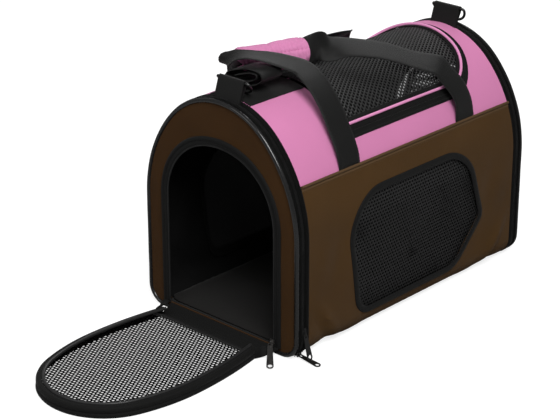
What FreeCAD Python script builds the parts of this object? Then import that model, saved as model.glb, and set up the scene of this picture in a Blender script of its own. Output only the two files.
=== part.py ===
import FreeCAD, Part
import math
import os

# Soft pet carrier bag with a fold-down mesh door at each end, mesh windows and a zipped roof hatch.
# Millimetres. +Z is up, -Y is the front end (its door lies open), +X is the near side.
# The origin is the centre of the footprint, on the surface that the bag stands on.

V = FreeCAD.Vector
AXIS_X, AXIS_Y, AXIS_Z = V(1, 0, 0), V(0, 1, 0), V(0, 0, 1)
ORIGIN = V(0, 0, 0)

# ---- driving dimensions -------------------------------------------------------------------
HALF_W = 130.0            # half the width of the body
HEIGHT = 307.0            # top of the dome
DOME_CROWN, DOME_SIDE = 112.2, 175.0   # radii of the dome: over the top, and at each side
CORNER_R = 26.0           # bottom edges of the body
HALF_L = 226.0            # half the length, over the end pipings
SHELL_Y = 204.0           # the body fabric ends here and the end zip starts
SHELL_T = 3.0             # fabric with its foam backing
SEAM_Z = 220.0            # seam between the lower and the upper fabric
PIPING_R = 3.0            # end piping, filled by a sprung wire hoop
HOOP_R = 1.2
WEBBING_T = 1.8           # thickness of handle webbing
WEBBING_W = 38.0          # width of handle webbing
CLEAR = 0.3               # gap kept between soft pieces that only touch

# opening in each end panel
OPEN_W, OPEN_TOP, OPEN_CROWN, OPEN_SIDE, OPEN_Z = 102.0, 257.0, 120.0, 96.0, 10.0
OPEN_TAPE = 10.0          # zip tape round the opening
COIL_W = 2.5
PANEL_Y, PANEL_T = 224.2, 2.0   # outer face of an end panel, and its thickness

# fold-down door, measured from its hinge
DOOR_W, DOOR_L, DOOR_CROWN, DOOR_SIDE = 87.0, 243.5, 77.9, 240.0
DOOR_TAPER_R = 500.0      # the door's sides curve inwards towards its hinge
DOOR_BASE_W = 74.5        # half its width at the hinge
DOOR_RIM = 9.5            # from the door piping's middle to the rim's outside
DOOR_H = 14.5             # height of the rim
DOOR_PIPING_R = 2.2
HINGE_Y, HINGE_Z = 247.5, 2.0

# roof hatch, in plan
HATCH_W, HATCH_FRONT, HATCH_TIP, HATCH_CROWN, HATCH_CORNER = 94.0, -107.0, 174.0, 230.0, 55.0

# side windows: corners of the outline in the side view, each (y, z, radius)
WINDOW = [(-139, 190, 62), (107, 190, 65), (142, 83, 18), (84.5, 22, 45), (-114.5, 22, 28)]
BINDING_W = 9.0

# shoulder-strap rings, one at each end of the roof: middle of the bar that each ring swings about
TAB_X, TAB_W, TAB_BACK = 4.0, 42.0, 10.0
BAR_Z = 328.5
FRONT_BAR_Y, REAR_BAR_Y = -203.0, 214.0
RING_R, RING_CURVE, RING_DEPTH, RING_CORNER = 1.8, 26.5, 25.2, 3.0
FRONT_RING_DROP, REAR_RING_DROP = 47.0, 58.0   # degrees below level at rest

GRIP_R = 17.0
GRIP_FRONT, GRIP_REAR = V(-40, -148, 328), V(-7, -63, 329)

# zip sliders and their pulls
SLIDER_W, SLIDER_L, SLIDER_T = 8.0, 12.0, 1.2
EYE_R, EYE_HOLE, EYE_UP = 3.0, 2.0, 4.7   # round eye of a pull, and its height above the zip
BAR_UP = 2.45             # height of a slotted pull's end bar above the zip
PULL_T = 1.2


# ---- helpers --------------------------------------------------------------------------------
def save(node, *solids):
    """Write one node's solids to its STEP file."""
    shape = solids[0] if len(solids) == 1 else Part.makeCompound(list(solids))
    shape.exportStep("parts/" + node + ".step")


class Arch:
    """An arch about the Z axis in the XZ plane: a round crown on two side arcs, on straight or curved-in legs.

    A positive inset gives the parallel curve inside it.
    """

    def __init__(self, half_w, top, crown, side, taper=None):
        self.half_w, self.top, self.crown, self.side, self.taper = half_w, top, crown, side, taper
        self.crown_z = top - crown
        drop = math.sqrt((crown - side) ** 2 - (half_w - side) ** 2)
        self.spring = self.crown_z + math.copysign(drop, crown - side)
        self.lean = math.atan2(abs(self.crown_z - self.spring), abs(side - half_w))

    def half_width(self, z, inset=0.0):
        """Half the arch's width at height z."""
        join = self.crown_z + (self.crown - inset) * math.sin(self.lean)
        if z > join:
            return math.sqrt(max(0.0, (self.crown - inset) ** 2 - (z - self.crown_z) ** 2))
        if z > self.spring:
            return self.half_w - self.side + math.sqrt((self.side - inset) ** 2 - (z - self.spring) ** 2)
        if self.taper:
            return self.half_w - self.taper + math.sqrt((self.taper - inset) ** 2 - (z - self.spring) ** 2)
        return self.half_w - inset

    def point(self, centre_x, centre_z, radius, angle):
        return V(centre_x + radius * math.cos(angle), 0, centre_z + radius * math.sin(angle))

    def edges(self, inset, foot):
        """Edges from the right foot over the top to the left foot."""
        side_r, crown_r = self.side - inset, self.crown - inset
        side_x = self.half_w - self.side
        shoulder = [self.point(side_x, self.spring, side_r, self.lean * k) for k in (0, 0.5, 1)]
        right = []
        if self.taper:
            low, middle = (V(self.half_width(z, inset), 0, z) for z in (foot, (foot + self.spring) / 2))
            right.append([low, middle, shoulder[0]])
        else:
            right.append([V(self.half_w - inset, 0, foot), shoulder[0]])
        right.append(shoulder)
        top = [shoulder[-1], V(0, 0, self.crown_z + crown_r), V(-shoulder[-1].x, 0, shoulder[-1].z)]
        left = [[V(-p.x, 0, p.z) for p in reversed(run)] for run in reversed(right)]
        return [curve(*run) for run in right + [top] + left]

    def face(self, inset, foot):
        edges = self.edges(inset, foot)
        half = self.half_width(foot, inset)
        return Part.Face(Part.Wire(edges + [curve(V(-half, 0, foot), V(half, 0, foot))]))


def curve(*points):
    """A straight edge through two points or an arc through three."""
    if len(points) == 2:
        return Part.LineSegment(*points).toShape()
    return Part.Arc(*points).toShape()


BODY = Arch(HALF_W, HEIGHT, DOME_CROWN, DOME_SIDE)
OPENING = Arch(OPEN_W, OPEN_TOP, OPEN_CROWN, OPEN_SIDE)
DOOR = Arch(DOOR_W, DOOR_L, DOOR_CROWN, DOOR_SIDE, DOOR_TAPER_R)
HATCH = Arch(HATCH_W, HATCH_TIP, HATCH_CROWN, HATCH_CORNER)


def dome_point(x, out):
    """The point this far out from the dome along its normal, where the dome is x off the middle, and the normal."""
    if abs(x) < DOME_CROWN * math.cos(BODY.lean):
        centre, radius = V(0, 0, BODY.crown_z), DOME_CROWN
    else:
        centre, radius = V(math.copysign(DOME_SIDE - HALF_W, -x), 0, BODY.spring), DOME_SIDE
    across = x - centre.x
    normal = V(across, 0, math.sqrt(radius ** 2 - across ** 2))
    normal.normalize()
    return centre + normal * (radius + out), normal


def body_edges(inset, y):
    """The body's cross-section at y: the arch with round bottom edges, closed by the flat bottom."""
    r = CORNER_R - inset
    flat, k = HALF_W - CORNER_R, r * (1 - math.sqrt(0.5))
    right = curve(V(flat, 0, inset), V(flat + r - k, 0, inset + k), V(flat + r, 0, CORNER_R))
    left = curve(V(-flat - r, 0, CORNER_R), V(-flat - r + k, 0, inset + k), V(-flat, 0, inset))
    edges = [right] + BODY.edges(inset, CORNER_R) + [left, curve(V(-flat, 0, inset), V(flat, 0, inset))]
    for edge in edges:
        edge.translate(V(0, y, 0))
    return edges


def body_block(inset, y0, y1):
    """A full block of the body's cross-section from y0 to y1."""
    return Part.Face(Part.Wire(body_edges(inset, y0))).extrude(V(0, y1 - y0, 0))


def body_layer(outer, inner, y0, y1):
    """A layer of the body between two insets."""
    return body_block(outer, y0, y1).cut(body_block(inner, y0, y1))


def box(x0, x1, y0, y1, z0, z1):
    return Part.makeBox(x1 - x0, y1 - y0, z1 - z0, V(x0, y0, z0))


def opening_block(inset, y0, y1, foot=OPEN_Z):
    """A block of the end opening's outline, moved inwards by inset, from y0 to y1."""
    face = OPENING.face(inset, foot)
    face.translate(V(0, y0, 0))
    return face.extrude(V(0, y1 - y0, 0))


def tube(edges, radius):
    """A round piping along straight edges and arcs that join smoothly."""
    runs = []
    for edge in edges:
        start, tangent = edge.valueAt(edge.FirstParameter), edge.tangentAt(edge.FirstParameter)
        section = Part.Face(Part.Wire(Part.makeCircle(radius, start, tangent)))
        if isinstance(edge.Curve, Part.Circle):
            angle = math.degrees(edge.LastParameter - edge.FirstParameter)
            runs.append(section.revolve(edge.Curve.Center, edge.Curve.Axis, angle))
        else:
            runs.append(section.extrude(edge.valueAt(edge.LastParameter) - start))
    return runs[0].multiFuse(runs[1:])


def turned(shape, about, axis, degrees):
    copy = shape.copy()
    copy.rotate(about, axis, degrees)
    return copy


def at_rear(shape):
    """The same piece at the other end: half a turn about the vertical."""
    return turned(shape, ORIGIN, AXIS_Z, 180)


def at_far_side(shape):
    """The same piece on the other side, mirrored across the middle."""
    return shape.mirror(ORIGIN, AXIS_X)


def ribbon(route):
    """Webbing along a route of (middle point, direction across, and a width and thickness where it is folded)."""
    rings = []
    count = len(route)
    for i, (p, across, *size) in enumerate(route):
        width = size[0] if size else WEBBING_W
        thick = size[1] if len(size) > 1 else WEBBING_T
        ahead = route[min(i + 1, count - 1)][0] - route[max(i - 1, 0)][0]
        ahead.normalize()
        side = across - ahead * across.dot(ahead)
        side.normalize()
        up = side.cross(ahead)
        side, up = side * (width / 2), up * (thick / 2)
        rings.append([p + side + up, p - side + up, p - side - up, p + side - up])
    triangles = [(rings[0][0], rings[0][1], rings[0][2]), (rings[0][0], rings[0][2], rings[0][3])]
    triangles += [(rings[-1][2], rings[-1][1], rings[-1][0]), (rings[-1][3], rings[-1][2], rings[-1][0])]
    for ring, after in zip(rings, rings[1:]):
        for k in range(4):
            a, b, c, d = ring[k], ring[k - 1], after[k - 1], after[k]
            triangles += [(a, b, d), (b, c, d)] if k == 3 else [(a, b, c), (a, c, d)]
    shell = Part.makeShell([Part.Face(Part.makePolygon([a, b, c, a])) for a, b, c in triangles])
    shell.sewShape()
    solid = Part.makeSolid(shell)
    if solid.Volume < 0:
        shell.reverse()
        solid = Part.makeSolid(shell)
    return solid


def rounded_outline(corners):
    """A closed outline in the YZ plane from (y, z, radius) corners, with tangent arcs."""
    count = len(corners)
    starts, edges = [], []
    for i, (y, z, r) in enumerate(corners):
        here = V(0, y, z)
        before = V(0, *corners[i - 1][:2]) - here
        after = V(0, *corners[(i + 1) % count][:2]) - here
        before.normalize()
        after.normalize()
        half = before.getAngle(after) / 2
        inward = before + after
        inward.normalize()
        centre = here + inward * (r / math.sin(half))
        reach = r / math.tan(half)
        starts.append((here + before * reach, centre - inward * r, here + after * reach))
    for i in range(count):
        first, middle, last = starts[i]
        edges.append(Part.Arc(first, middle, last).toShape())
        edges.append(Part.LineSegment(last, starts[(i + 1) % count][0]).toShape())
    return Part.Wire(edges)


def window_block(inset):
    """A block of the near window's outline, moved inwards by inset, right through the side panel."""
    outline = rounded_outline(WINDOW)
    face = Part.Face(outline.makeOffset2D(-inset)) if inset else Part.Face(outline)
    face.translate(V(HALF_W - 30, 0, 0))
    return face.extrude(V(60, 0, 0))


# ---- body -----------------------------------------------------------------------------------
def build_floor():
    """Bottom fabric, the stiff board on it and the soft mat on top."""
    flat = HALF_W - CORNER_R
    bottom = body_layer(0, SHELL_T, -SHELL_Y, SHELL_Y).common(box(-flat, flat, -250, 250, -1, 10))
    save("bottom_panel", bottom)
    board_t, board_y = 2.5, 214.0
    save("base_board", box(-flat, flat, -board_y, board_y, SHELL_T, SHELL_T + board_t))
    low, mat_t, mat_w, mat_y = SHELL_T + board_t, 8.0, 106.0, 212.0
    mat = box(-mat_w, mat_w, -mat_y, mat_y, low, low + mat_t)
    uprights = [e for e in mat.Edges if abs(e.tangentAt(e.FirstParameter).z) > 0.9]
    mat = mat.makeFillet(14, uprights)
    rim = [e for e in mat.Edges if abs(e.CenterOfMass.z - low - mat_t) < 0.01]
    save("floor_mat", mat.makeChamfer(2.0, rim))


def build_sides():
    """Lower side panels with their windows, from the bottom panel up to the colour seam."""
    flat = HALF_W - CORNER_R
    hole_inset, mesh_t, binding_t = BINDING_W - 2, 0.8, 0.8
    layer = body_layer(0, SHELL_T, -SHELL_Y, SHELL_Y)
    panel = layer.common(box(flat, HALF_W + 1, -250, 250, -1, SEAM_Z)).cut(window_block(hole_inset))
    mesh = body_layer(SHELL_T, SHELL_T + mesh_t, -200, 200).common(window_block(0))
    mesh = mesh.common(box(flat, HALF_W + 1, -250, 250, -1, SEAM_Z))
    ring = window_block(0).cut(window_block(BINDING_W))
    binding = body_layer(-binding_t, 0, -200, 200).common(ring)
    for side, place in (("near", lambda s: s), ("far", at_far_side)):
        save("side_panel_" + side, place(panel))
        save("window_mesh_" + side, place(mesh))
        save("window_binding_" + side, place(binding))


def build_seam_piping():
    """The cord along each colour seam, half sunk between the two fabrics."""
    r = 1.8
    sine = (SEAM_Z - BODY.spring) / DOME_SIDE
    out = DOME_SIDE + r
    at = V(HALF_W - DOME_SIDE + out * math.sqrt(1 - sine ** 2), 0, BODY.spring + out * sine)
    cord = Part.makeCylinder(r, 2 * SHELL_Y, V(at.x, -SHELL_Y, at.z), AXIS_Y)
    save("seam_piping", cord, at_far_side(cord))


def hatch_block(outset, front=HATCH_FRONT):
    """A block of the hatch's outline in plan, moved outwards by outset, from its straight front edge back."""
    face = HATCH.face(-outset, front)
    face.rotate(ORIGIN, AXIS_X, -90)
    face.translate(V(0, 0, 180))
    return face.extrude(V(0, 0, 200))


def roof_ring(outer, inner, low, high, front=HATCH_FRONT):
    """A U-shaped band on the dome between two hatch outlines and between two heights above the fabric."""
    layer = body_layer(-high, -low, front, SHELL_Y).common(box(-HALF_W, HALF_W, -250, 250, 230, 400))
    return layer.common(hatch_block(outer, front)).cut(hatch_block(inner, front - 5))


def build_roof():
    """Upper fabric with the hatch opening, the twill panel in front of it and the zip round it."""
    layer = body_layer(0, SHELL_T, -SHELL_Y, SHELL_Y)
    shell = layer.common(box(-HALF_W - 1, HALF_W + 1, -250, 250, SEAM_Z, 400)).cut(hatch_block(0))
    save("upper_shell", shell)
    twill_w, twill_t = 34.0, 0.8
    twill = body_layer(-twill_t, 0, -SHELL_Y, HATCH_FRONT - 1).common(box(-twill_w, twill_w, -250, 0, 250, 400))
    save("top_front_panel", twill)
    tape = roof_ring(7.0, 0.3, 0.0, 1.0)
    coil = roof_ring(3.0, 0.4, 1.0, 2.6)
    save("hatch_opening_zip", tape, coil)


def build_hatch():
    """Mesh roof hatch: curved mesh, zip tape on it and pink piping round three sides."""
    front = HATCH_FRONT + 2
    save("hatch_mesh", body_layer(-0.6, 0.2, front, SHELL_Y).common(hatch_block(-1.0, front)).common(
        box(-HALF_W, HALF_W, -250, 250, 230, 400)))
    save("hatch_zip_tape", roof_ring(-1.0, -9.0, 0.6, 1.8, front))
    save("hatch_piping", roof_ring(-2.0, -6.0, 1.8, 5.8, front))


# ---- ends -----------------------------------------------------------------------------------
def build_end(name, place):
    """Everything sewn to one end: panel, piping with its wire hoop, end zip and the zip of the door opening."""
    hoop_y = -HALF_L + PIPING_R
    zip_inner, zip_outer = SHELL_Y + 12.0, SHELL_Y + 8.0
    panel = body_block(2 * PIPING_R, -PANEL_Y, -PANEL_Y + PANEL_T)
    panel = panel.cut(opening_block(OPEN_TAPE - 2, -PANEL_Y - 5, -PANEL_Y + 5))
    save(name + "_end_panel", place(panel))
    path = body_edges(PIPING_R, hoop_y)
    save(name + "_end_piping", place(tube(path, PIPING_R).cut(tube(path, HOOP_R + 0.1))))
    save(name + "_hoop_wire", place(tube(path, HOOP_R)))
    tape_out = body_layer(0.3, 1.8, -zip_outer, -SHELL_Y)
    coil = body_layer(0.0, 2.2, -zip_inner, -zip_outer)
    tape_in = body_layer(0.3, 1.8, -HALF_L + 2 * PIPING_R, -zip_inner)
    save(name + "_end_zip", place(coil.fuse([tape_out, tape_in])))
    front_y = -PANEL_Y - 1.2
    tape = opening_block(0, front_y, -PANEL_Y).cut(opening_block(OPEN_TAPE, front_y - 1, -PANEL_Y + 1, 0))
    teeth = opening_block(OPEN_TAPE, front_y - 1, -PANEL_Y + 1).cut(
        opening_block(OPEN_TAPE + COIL_W, front_y - 2, -PANEL_Y + 2, 0))
    save(name + "_door_opening_zip", place(tape), place(teeth))
    strip_w, low, top = DOOR_BASE_W - 4, 2 * PIPING_R + 0.5, OPEN_Z
    outline = [(-PANEL_Y, low), (-PANEL_Y, top), (front_y, top), (-HINGE_Y + 3, HINGE_Z + 2.2),
               (-HINGE_Y + 3, HINGE_Z + 1.0), (front_y, low)]
    strip = Part.Face(Part.makePolygon([V(-strip_w, y, z) for y, z in outline + outline[:1]]))
    save(name + "_door_hinge_strip", place(strip.extrude(V(2 * strip_w, 0, 0))))


# ---- doors ----------------------------------------------------------------------------------
def door_block(inset, low, high, foot):
    """A block of the closed door's outline, moved inwards by inset, between two heights above the rim's foot."""
    face = DOOR.face(inset, foot)
    face.translate(V(0, -HINGE_Y + low - HINGE_Z, HINGE_Z))
    return face.extrude(V(0, high - low, 0))


def build_door(name, place):
    """One mesh door, made closed: rim with its zip tape, piping, mesh and the hem at its hinge."""
    foot, hem_end, rim_t, low = 1.0, 18.0, 2.0, 0.5
    outer, wall = -DOOR_RIM, -DOOR_RIM + rim_t
    rim = door_block(outer, low, DOOR_H, foot).cut(door_block(wall, low - 1, DOOR_H + 1, foot - 1))
    band = door_block(wall, DOOR_H - rim_t, DOOR_H, foot).cut(
        door_block(-DOOR_PIPING_R, low, DOOR_H + 1, foot - 1))
    save(name + "_door_rim", place(rim.fuse(band).removeSplitter()))
    piping_h = DOOR_H - rim_t + DOOR_PIPING_R
    piping = tube(DOOR.edges(0, foot), DOOR_PIPING_R)
    piping.translate(V(0, -HINGE_Y + piping_h - HINGE_Z, HINGE_Z))
    save(name + "_door_piping", place(piping))
    mesh_t = 0.8
    high = DOOR_H - rim_t
    save(name + "_door_mesh", place(door_block(wall + 0.1, high - mesh_t, high, hem_end)))
    hem_w, hem_t = DOOR_BASE_W - 3, 1.4
    outline = [(foot, HINGE_Z), (foot, HINGE_Z + hem_t), (hem_end, high), (hem_end, high - hem_t)]
    corners = [V(-hem_w, -HINGE_Y + h - HINGE_Z, HINGE_Z + s) for s, h in outline + outline[:1]]
    save(name + "_door_hem", place(Part.Face(Part.makePolygon(corners)).extrude(V(2 * hem_w, 0, 0))))


# ---- shoulder-strap rings ---------------------------------------------------------------------
def build_ring(name, bar_y, drop):
    """A folded webbing tab on the roof and the D-ring that hangs in its fold."""
    fold_r, bore_r, base_t = 3.4, 2.2, 2.8
    root = V(0, bar_y - TAB_BACK, HEIGHT - 8)
    bar = V(0, bar_y, BAR_Z)
    lean = bar - root
    lean.normalize()
    side = lean.cross(AXIS_X)
    corners = [root + side * (base_t / 2), bar + side * fold_r, bar - side * fold_r, root - side * (base_t / 2)]
    flap = Part.Face(Part.makePolygon(corners + corners[:1])).extrude(V(TAB_W, 0, 0))
    fold = Part.makeCylinder(fold_r, TAB_W, bar, AXIS_X)
    bore = Part.makeCylinder(bore_r, TAB_W + 2, bar - AXIS_X, AXIS_X)
    tab = flap.fuse(fold).cut(bore)
    tab.translate(V(TAB_X - TAB_W / 2, 0, 0))
    save(name + "_ring_tab", tab.cut(body_block(-CLEAR, -HALF_L, HALF_L)).removeSplitter())

    centre_up = RING_DEPTH - RING_CURVE
    reach = RING_CURVE - RING_CORNER
    across = math.sqrt(reach ** 2 - (RING_CORNER - centre_up) ** 2)
    centre = V(0, centre_up, 0)
    corner = V(across, RING_CORNER, 0)
    out = corner - centre
    out.normalize()
    half_angle = (math.atan2(out.y, out.x) - math.pi / 2) / 2
    middle = corner + V(math.cos(half_angle), math.sin(half_angle), 0) * RING_CORNER
    tip = centre + out * RING_CURVE
    mirror = lambda p: V(-p.x, p.y, p.z)
    edges = [
        Part.LineSegment(V(-across, 0, 0), V(across, 0, 0)).toShape(),
        Part.Arc(V(across, 0, 0), middle, tip).toShape(),
        Part.Arc(tip, V(0, RING_DEPTH, 0), mirror(tip)).toShape(),
        Part.Arc(mirror(tip), mirror(middle), V(-across, 0, 0)).toShape(),
    ]
    ring = turned(tube(edges, RING_R), ORIGIN, AXIS_X, -drop)
    ring.translate(V(TAB_X, bar_y, BAR_Z))
    save(name + "_d_ring", ring)


# ---- handles ----------------------------------------------------------------------------------
def far(route):
    """The same route on the far side."""
    return [(V(-p.x, p.y, p.z), V(-across.x, across.y, across.z), *size) for p, across, *size in route]


def build_handles():
    """Two webbing handles sewn in at the seam: legs that lie on the dome, and loops joined by a padded grip."""
    axis = GRIP_REAR - GRIP_FRONT
    length = axis.Length
    axis.normalize()
    level = AXIS_Z.cross(axis)
    folded = (24.0, 3.6)

    front_leg = [(V(117.8, -116, 225), AXIS_Y), (V(110, -116, 246), AXIS_Y), (V(99, -116, 267), AXIS_Y),
                 (V(88, -116, 284), AXIS_Y)]
    rear_leg = [(V(117.8, 113, 225), AXIS_Y), (V(114, 113, 243), V(-0.1, 1, 0)), (V(106, 109, 261), V(-0.2, 1, 0.2)),
                (V(93, 99, 281), V(-0.3, 0.9, 0.3))]
    save("near_handle_legs", ribbon(front_leg), ribbon(rear_leg))
    save("far_handle_legs", ribbon(far(front_leg)), ribbon(far(rear_leg)))

    near_loop = [
        (V(86.8, -116, 285.6), AXIS_Y),
        (V(74, -116, 303), AXIS_Y),
        (V(56, -116, 320), AXIS_Y),
        (V(39, -118, 330), AXIS_Y),
        (V(25, -128, 336), V(-0.2, 1, 0)),
        (V(13, -140, 341), V(-0.4, 1, 0)),
        (V(1, -152, 345), V(-0.6, 1, 0), 34.0),
        (V(-13, -162, 346), V(-0.8, 0.8, 0), 32.0),
        (V(-27, -169, 342), V(-0.9, 0.5, 0), 30.0),
        (V(-37, -172, 334), V(-0.93, 0.364, 0), 28.0),
        (V(-41, -166, 328), V(-0.93, 0.364, 0), 26.0, 2.6),
        (GRIP_FRONT - axis * 3, level, *folded),
        (GRIP_REAR + axis * 3, level, *folded),
        (V(-4, -50, 322), V(-0.9, 0.3, 0), 30.0),
        (V(-3, -34, 322), V(-0.9, 0.5, 0)),
        (V(2, -17, 330), V(-0.8, 0.6, 0.2)),
        (V(18, 2, 330), V(-0.65, 0.7, 0.3)),
        (V(42, 36, 318), V(-0.65, 0.7, 0.3)),
        (V(68, 70, 301), V(-0.6, 0.75, 0.3)),
        (V(86.5, 94, 291), V(-0.38, 0.85, 0.36)),
        (V(91.5, 97.8, 283.3), V(-0.3, 0.9, 0.3)),
    ]
    save("near_handle_loop", ribbon(near_loop))
    far_loop = [
        (V(-91.5, 97.8, 283.3), V(0.3, 0.9, 0.3)),
        (V(-86.5, 94, 291), V(0.38, 0.85, 0.36)),
        (V(-70, 77, 301), V(0.5, 0.7, 0.46)),
        (V(-53, 54, 312), V(0.7, 0.56, 0.4)),
        (V(-41, 20, 318), V(0.7, 0.2, 0.6), 34.0),
        (V(-40, -20, 318), V(0.6, 0, 0.8), 32.0),
        (V(-50, -60, 314), V(0.6, 0, 0.8), 32.0),
        (V(-64, -96, 307), V(0.5, -0.2, 0.8), 32.0),
        (V(-77, -114, 299), V(0.2, -0.9, 0.3)),
        (V(-84.1, -116, 289.8), V(0, -1, 0)),
        (V(-86.8, -116, 285.6), V(0, -1, 0)),
    ]
    save("far_handle_loop", ribbon(far_loop))
    grip = Part.makeCylinder(GRIP_R, length, GRIP_FRONT, axis)
    grip = grip.makeFillet(5, [e for e in grip.Edges if e.Closed])
    slot_w, slot_t = 25.0, 4.4
    slot = Part.makeBox(slot_w, slot_t, length + 10, V(-slot_w / 2, -slot_t / 2, -5))
    slot.Placement = FreeCAD.Placement(GRIP_FRONT, FreeCAD.Rotation(level, axis.cross(level), axis, "ZXY"))
    save("handle_grip", grip.cut(slot))


# ---- zip sliders and pulls ----------------------------------------------------------------------
def zip_frame(at, normal, run):
    """Placement of a slider: its z is the outward normal of the zip and its y runs along the zip."""
    return FreeCAD.Placement(at, FreeCAD.Rotation(run.cross(normal), run, normal, "ZYX"))


def slider(at, normal, run):
    """A slider: a tapered plate over the coil and the crown that holds the eye of its pull."""
    low, top = CLEAR, CLEAR + SLIDER_T
    w, length = SLIDER_W / 2, SLIDER_L / 2
    corners = [V(-w * 0.7, -length, low), V(w * 0.7, -length, low), V(w, 0, low), V(w * 0.8, length, low),
               V(-w * 0.8, length, low), V(-w, 0, low)]
    plate = Part.Face(Part.makePolygon(corners + corners[:1])).extrude(V(0, 0, SLIDER_T))
    crown_w, crown_t, gap = 1.3, 0.7, 1.9
    outer, inner = 4.6, 3.6
    arch = Part.makeBox(crown_w, 2 * outer, gap + crown_t, V(-crown_w / 2, -outer, top))
    arch = arch.makeFillet(1.4, [e for e in arch.Edges if e.CenterOfMass.z > top + gap + crown_t - 0.01
                                 and abs(e.CenterOfMass.y) > outer - 0.01])
    hollow = Part.makeBox(crown_w + 2, 2 * inner, gap, V(-crown_w / 2 - 1, -inner, top))
    shape = plate.fuse(arch.cut(hollow)).removeSplitter()
    shape.Placement = zip_frame(at, normal, run)
    return shape


def blade(neck, back, length, end_w, holes):
    """A flat zip pull along X from its pivot at the origin, with these holes as (x, half length, half width)."""
    half = end_w / 2
    end_x = length - back - half
    body = Part.Face(Part.Wire([
        curve(V(0, -neck, 0), V(end_x, -half, 0)),
        curve(V(end_x, -half, 0), V(end_x + half, 0, 0), V(end_x, half, 0)),
        curve(V(end_x, half, 0), V(0, neck, 0)),
        curve(V(0, neck, 0), V(-back, 0, 0), V(0, -neck, 0)),
    ])).extrude(V(0, 0, PULL_T))
    body = body.cut(Part.makeCylinder(half - 1.6, PULL_T + 2, V(end_x, 0, -1)))
    for hole in holes:
        body = body.cut(hole)
    body.translate(V(0, 0, -PULL_T / 2))
    return body


def placed(shape, pivot, direction, axis):
    """A pull moved to its pivot, lying in this direction, its pivot axis along this one."""
    flat = direction.cross(axis)
    shape.Placement = FreeCAD.Placement(pivot, FreeCAD.Rotation(direction, axis, flat, "XYZ")).multiply(
        shape.Placement)
    return shape


def slotted_pull(at, normal, across, direction, length):
    """A pull whose end bar lies under the slider's crown, with the crown through its slot."""
    slot_from, slot_to, slot_w = 0.7, 5.7, 2.7
    slot = Part.makeBox(slot_to - slot_from, slot_w, PULL_T + 2, V(slot_from, -slot_w / 2, -1))
    return placed(blade(2.8, 0.7, length, 8.5, [slot]), at + normal * BAR_UP, direction, across)


def eyed_pull(at, normal, across, direction, length):
    """A pull whose round eye goes round the slider's crown, so that it can also lie askew."""
    hole = Part.makeCylinder(EYE_HOLE, PULL_T + 2, V(0, 0, -1))
    return placed(blade(EYE_R, EYE_R, length, 9.0, [hole]), at + normal * EYE_UP, direction, across)


def build_sliders(name, place):
    """The sliders of one end: two on the outer zip and one on the door's zip, all on the same side."""
    coil_y = -SHELL_Y - 10
    black_l, grey_l = 35.0, 46.0
    lean = math.radians(16)
    upper = (V(HALF_W, coil_y, 37), AXIS_X)
    save(name + "_upper_slider", place(slider(*upper, AXIS_Z)))
    hang = V(math.sin(lean), 0, -math.cos(lean))
    save(name + "_upper_pull", place(slotted_pull(*upper, AXIS_Y, hang, black_l)))
    tilt = math.radians(48)
    normal, run = V(math.cos(tilt), 0, -math.sin(tilt)), V(math.sin(tilt), 0, math.cos(tilt))
    lower = (V(HALF_W - CORNER_R, coil_y, CORNER_R) + normal * CORNER_R, normal)
    save(name + "_lower_slider", place(slider(*lower, run)))
    save(name + "_lower_pull", place(slotted_pull(*lower, AXIS_Y, V(0.9955, 0, -0.095), black_l)))
    door = (V(OPEN_W - OPEN_TAPE - COIL_W / 2, -PANEL_Y - 2.2, 14), V(0, -1, 0))
    askew = V(0.66, -0.711, -0.25)
    save(name + "_door_slider", place(slider(*door, AXIS_Z)))
    save(name + "_door_pull", place(eyed_pull(*door, V(0.733, 0.68, 0), askew, grey_l)))


def build_hatch_slider():
    """The slider of the roof hatch's zip, at its front end on the far side."""
    coil_top = 2.6
    at, normal = dome_point(-HATCH_W - 1.7, coil_top)
    place = (at + V(0, HATCH_FRONT + 14, 0), normal)
    save("hatch_slider", slider(*place, AXIS_Y))
    save("hatch_pull", slotted_pull(*place, AXIS_Y.cross(normal), V(0, -1, 0), 32.0))


def same_place(shape):
    return shape


def open_in_front(shape):
    """The front door lies open on the floor: a quarter turn about its hinge."""
    return turned(shape, V(0, -HINGE_Y, HINGE_Z), AXIS_X, 90)


os.makedirs("parts", exist_ok=True)
build_floor()
build_sides()
build_seam_piping()
build_roof()
build_hatch()
for end, end_place, door_place in (("front", same_place, open_in_front), ("rear", at_rear, at_rear)):
    build_end(end, end_place)
    build_door(end, door_place)
    build_sliders(end, end_place)
build_ring("front", FRONT_BAR_Y, FRONT_RING_DROP)
build_ring("rear", REAR_BAR_Y, REAR_RING_DROP)
build_hatch_slider()
build_handles()
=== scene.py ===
"""Soft pet carrier bag: fabric, mesh, zips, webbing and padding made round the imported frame."""
import logging
import math
from dataclasses import dataclass
from enum import Enum
from typing import Callable, Protocol, Sequence

import bmesh
import bpy
import numpy as np
from mathutils import Matrix, Vector, geometry


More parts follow.
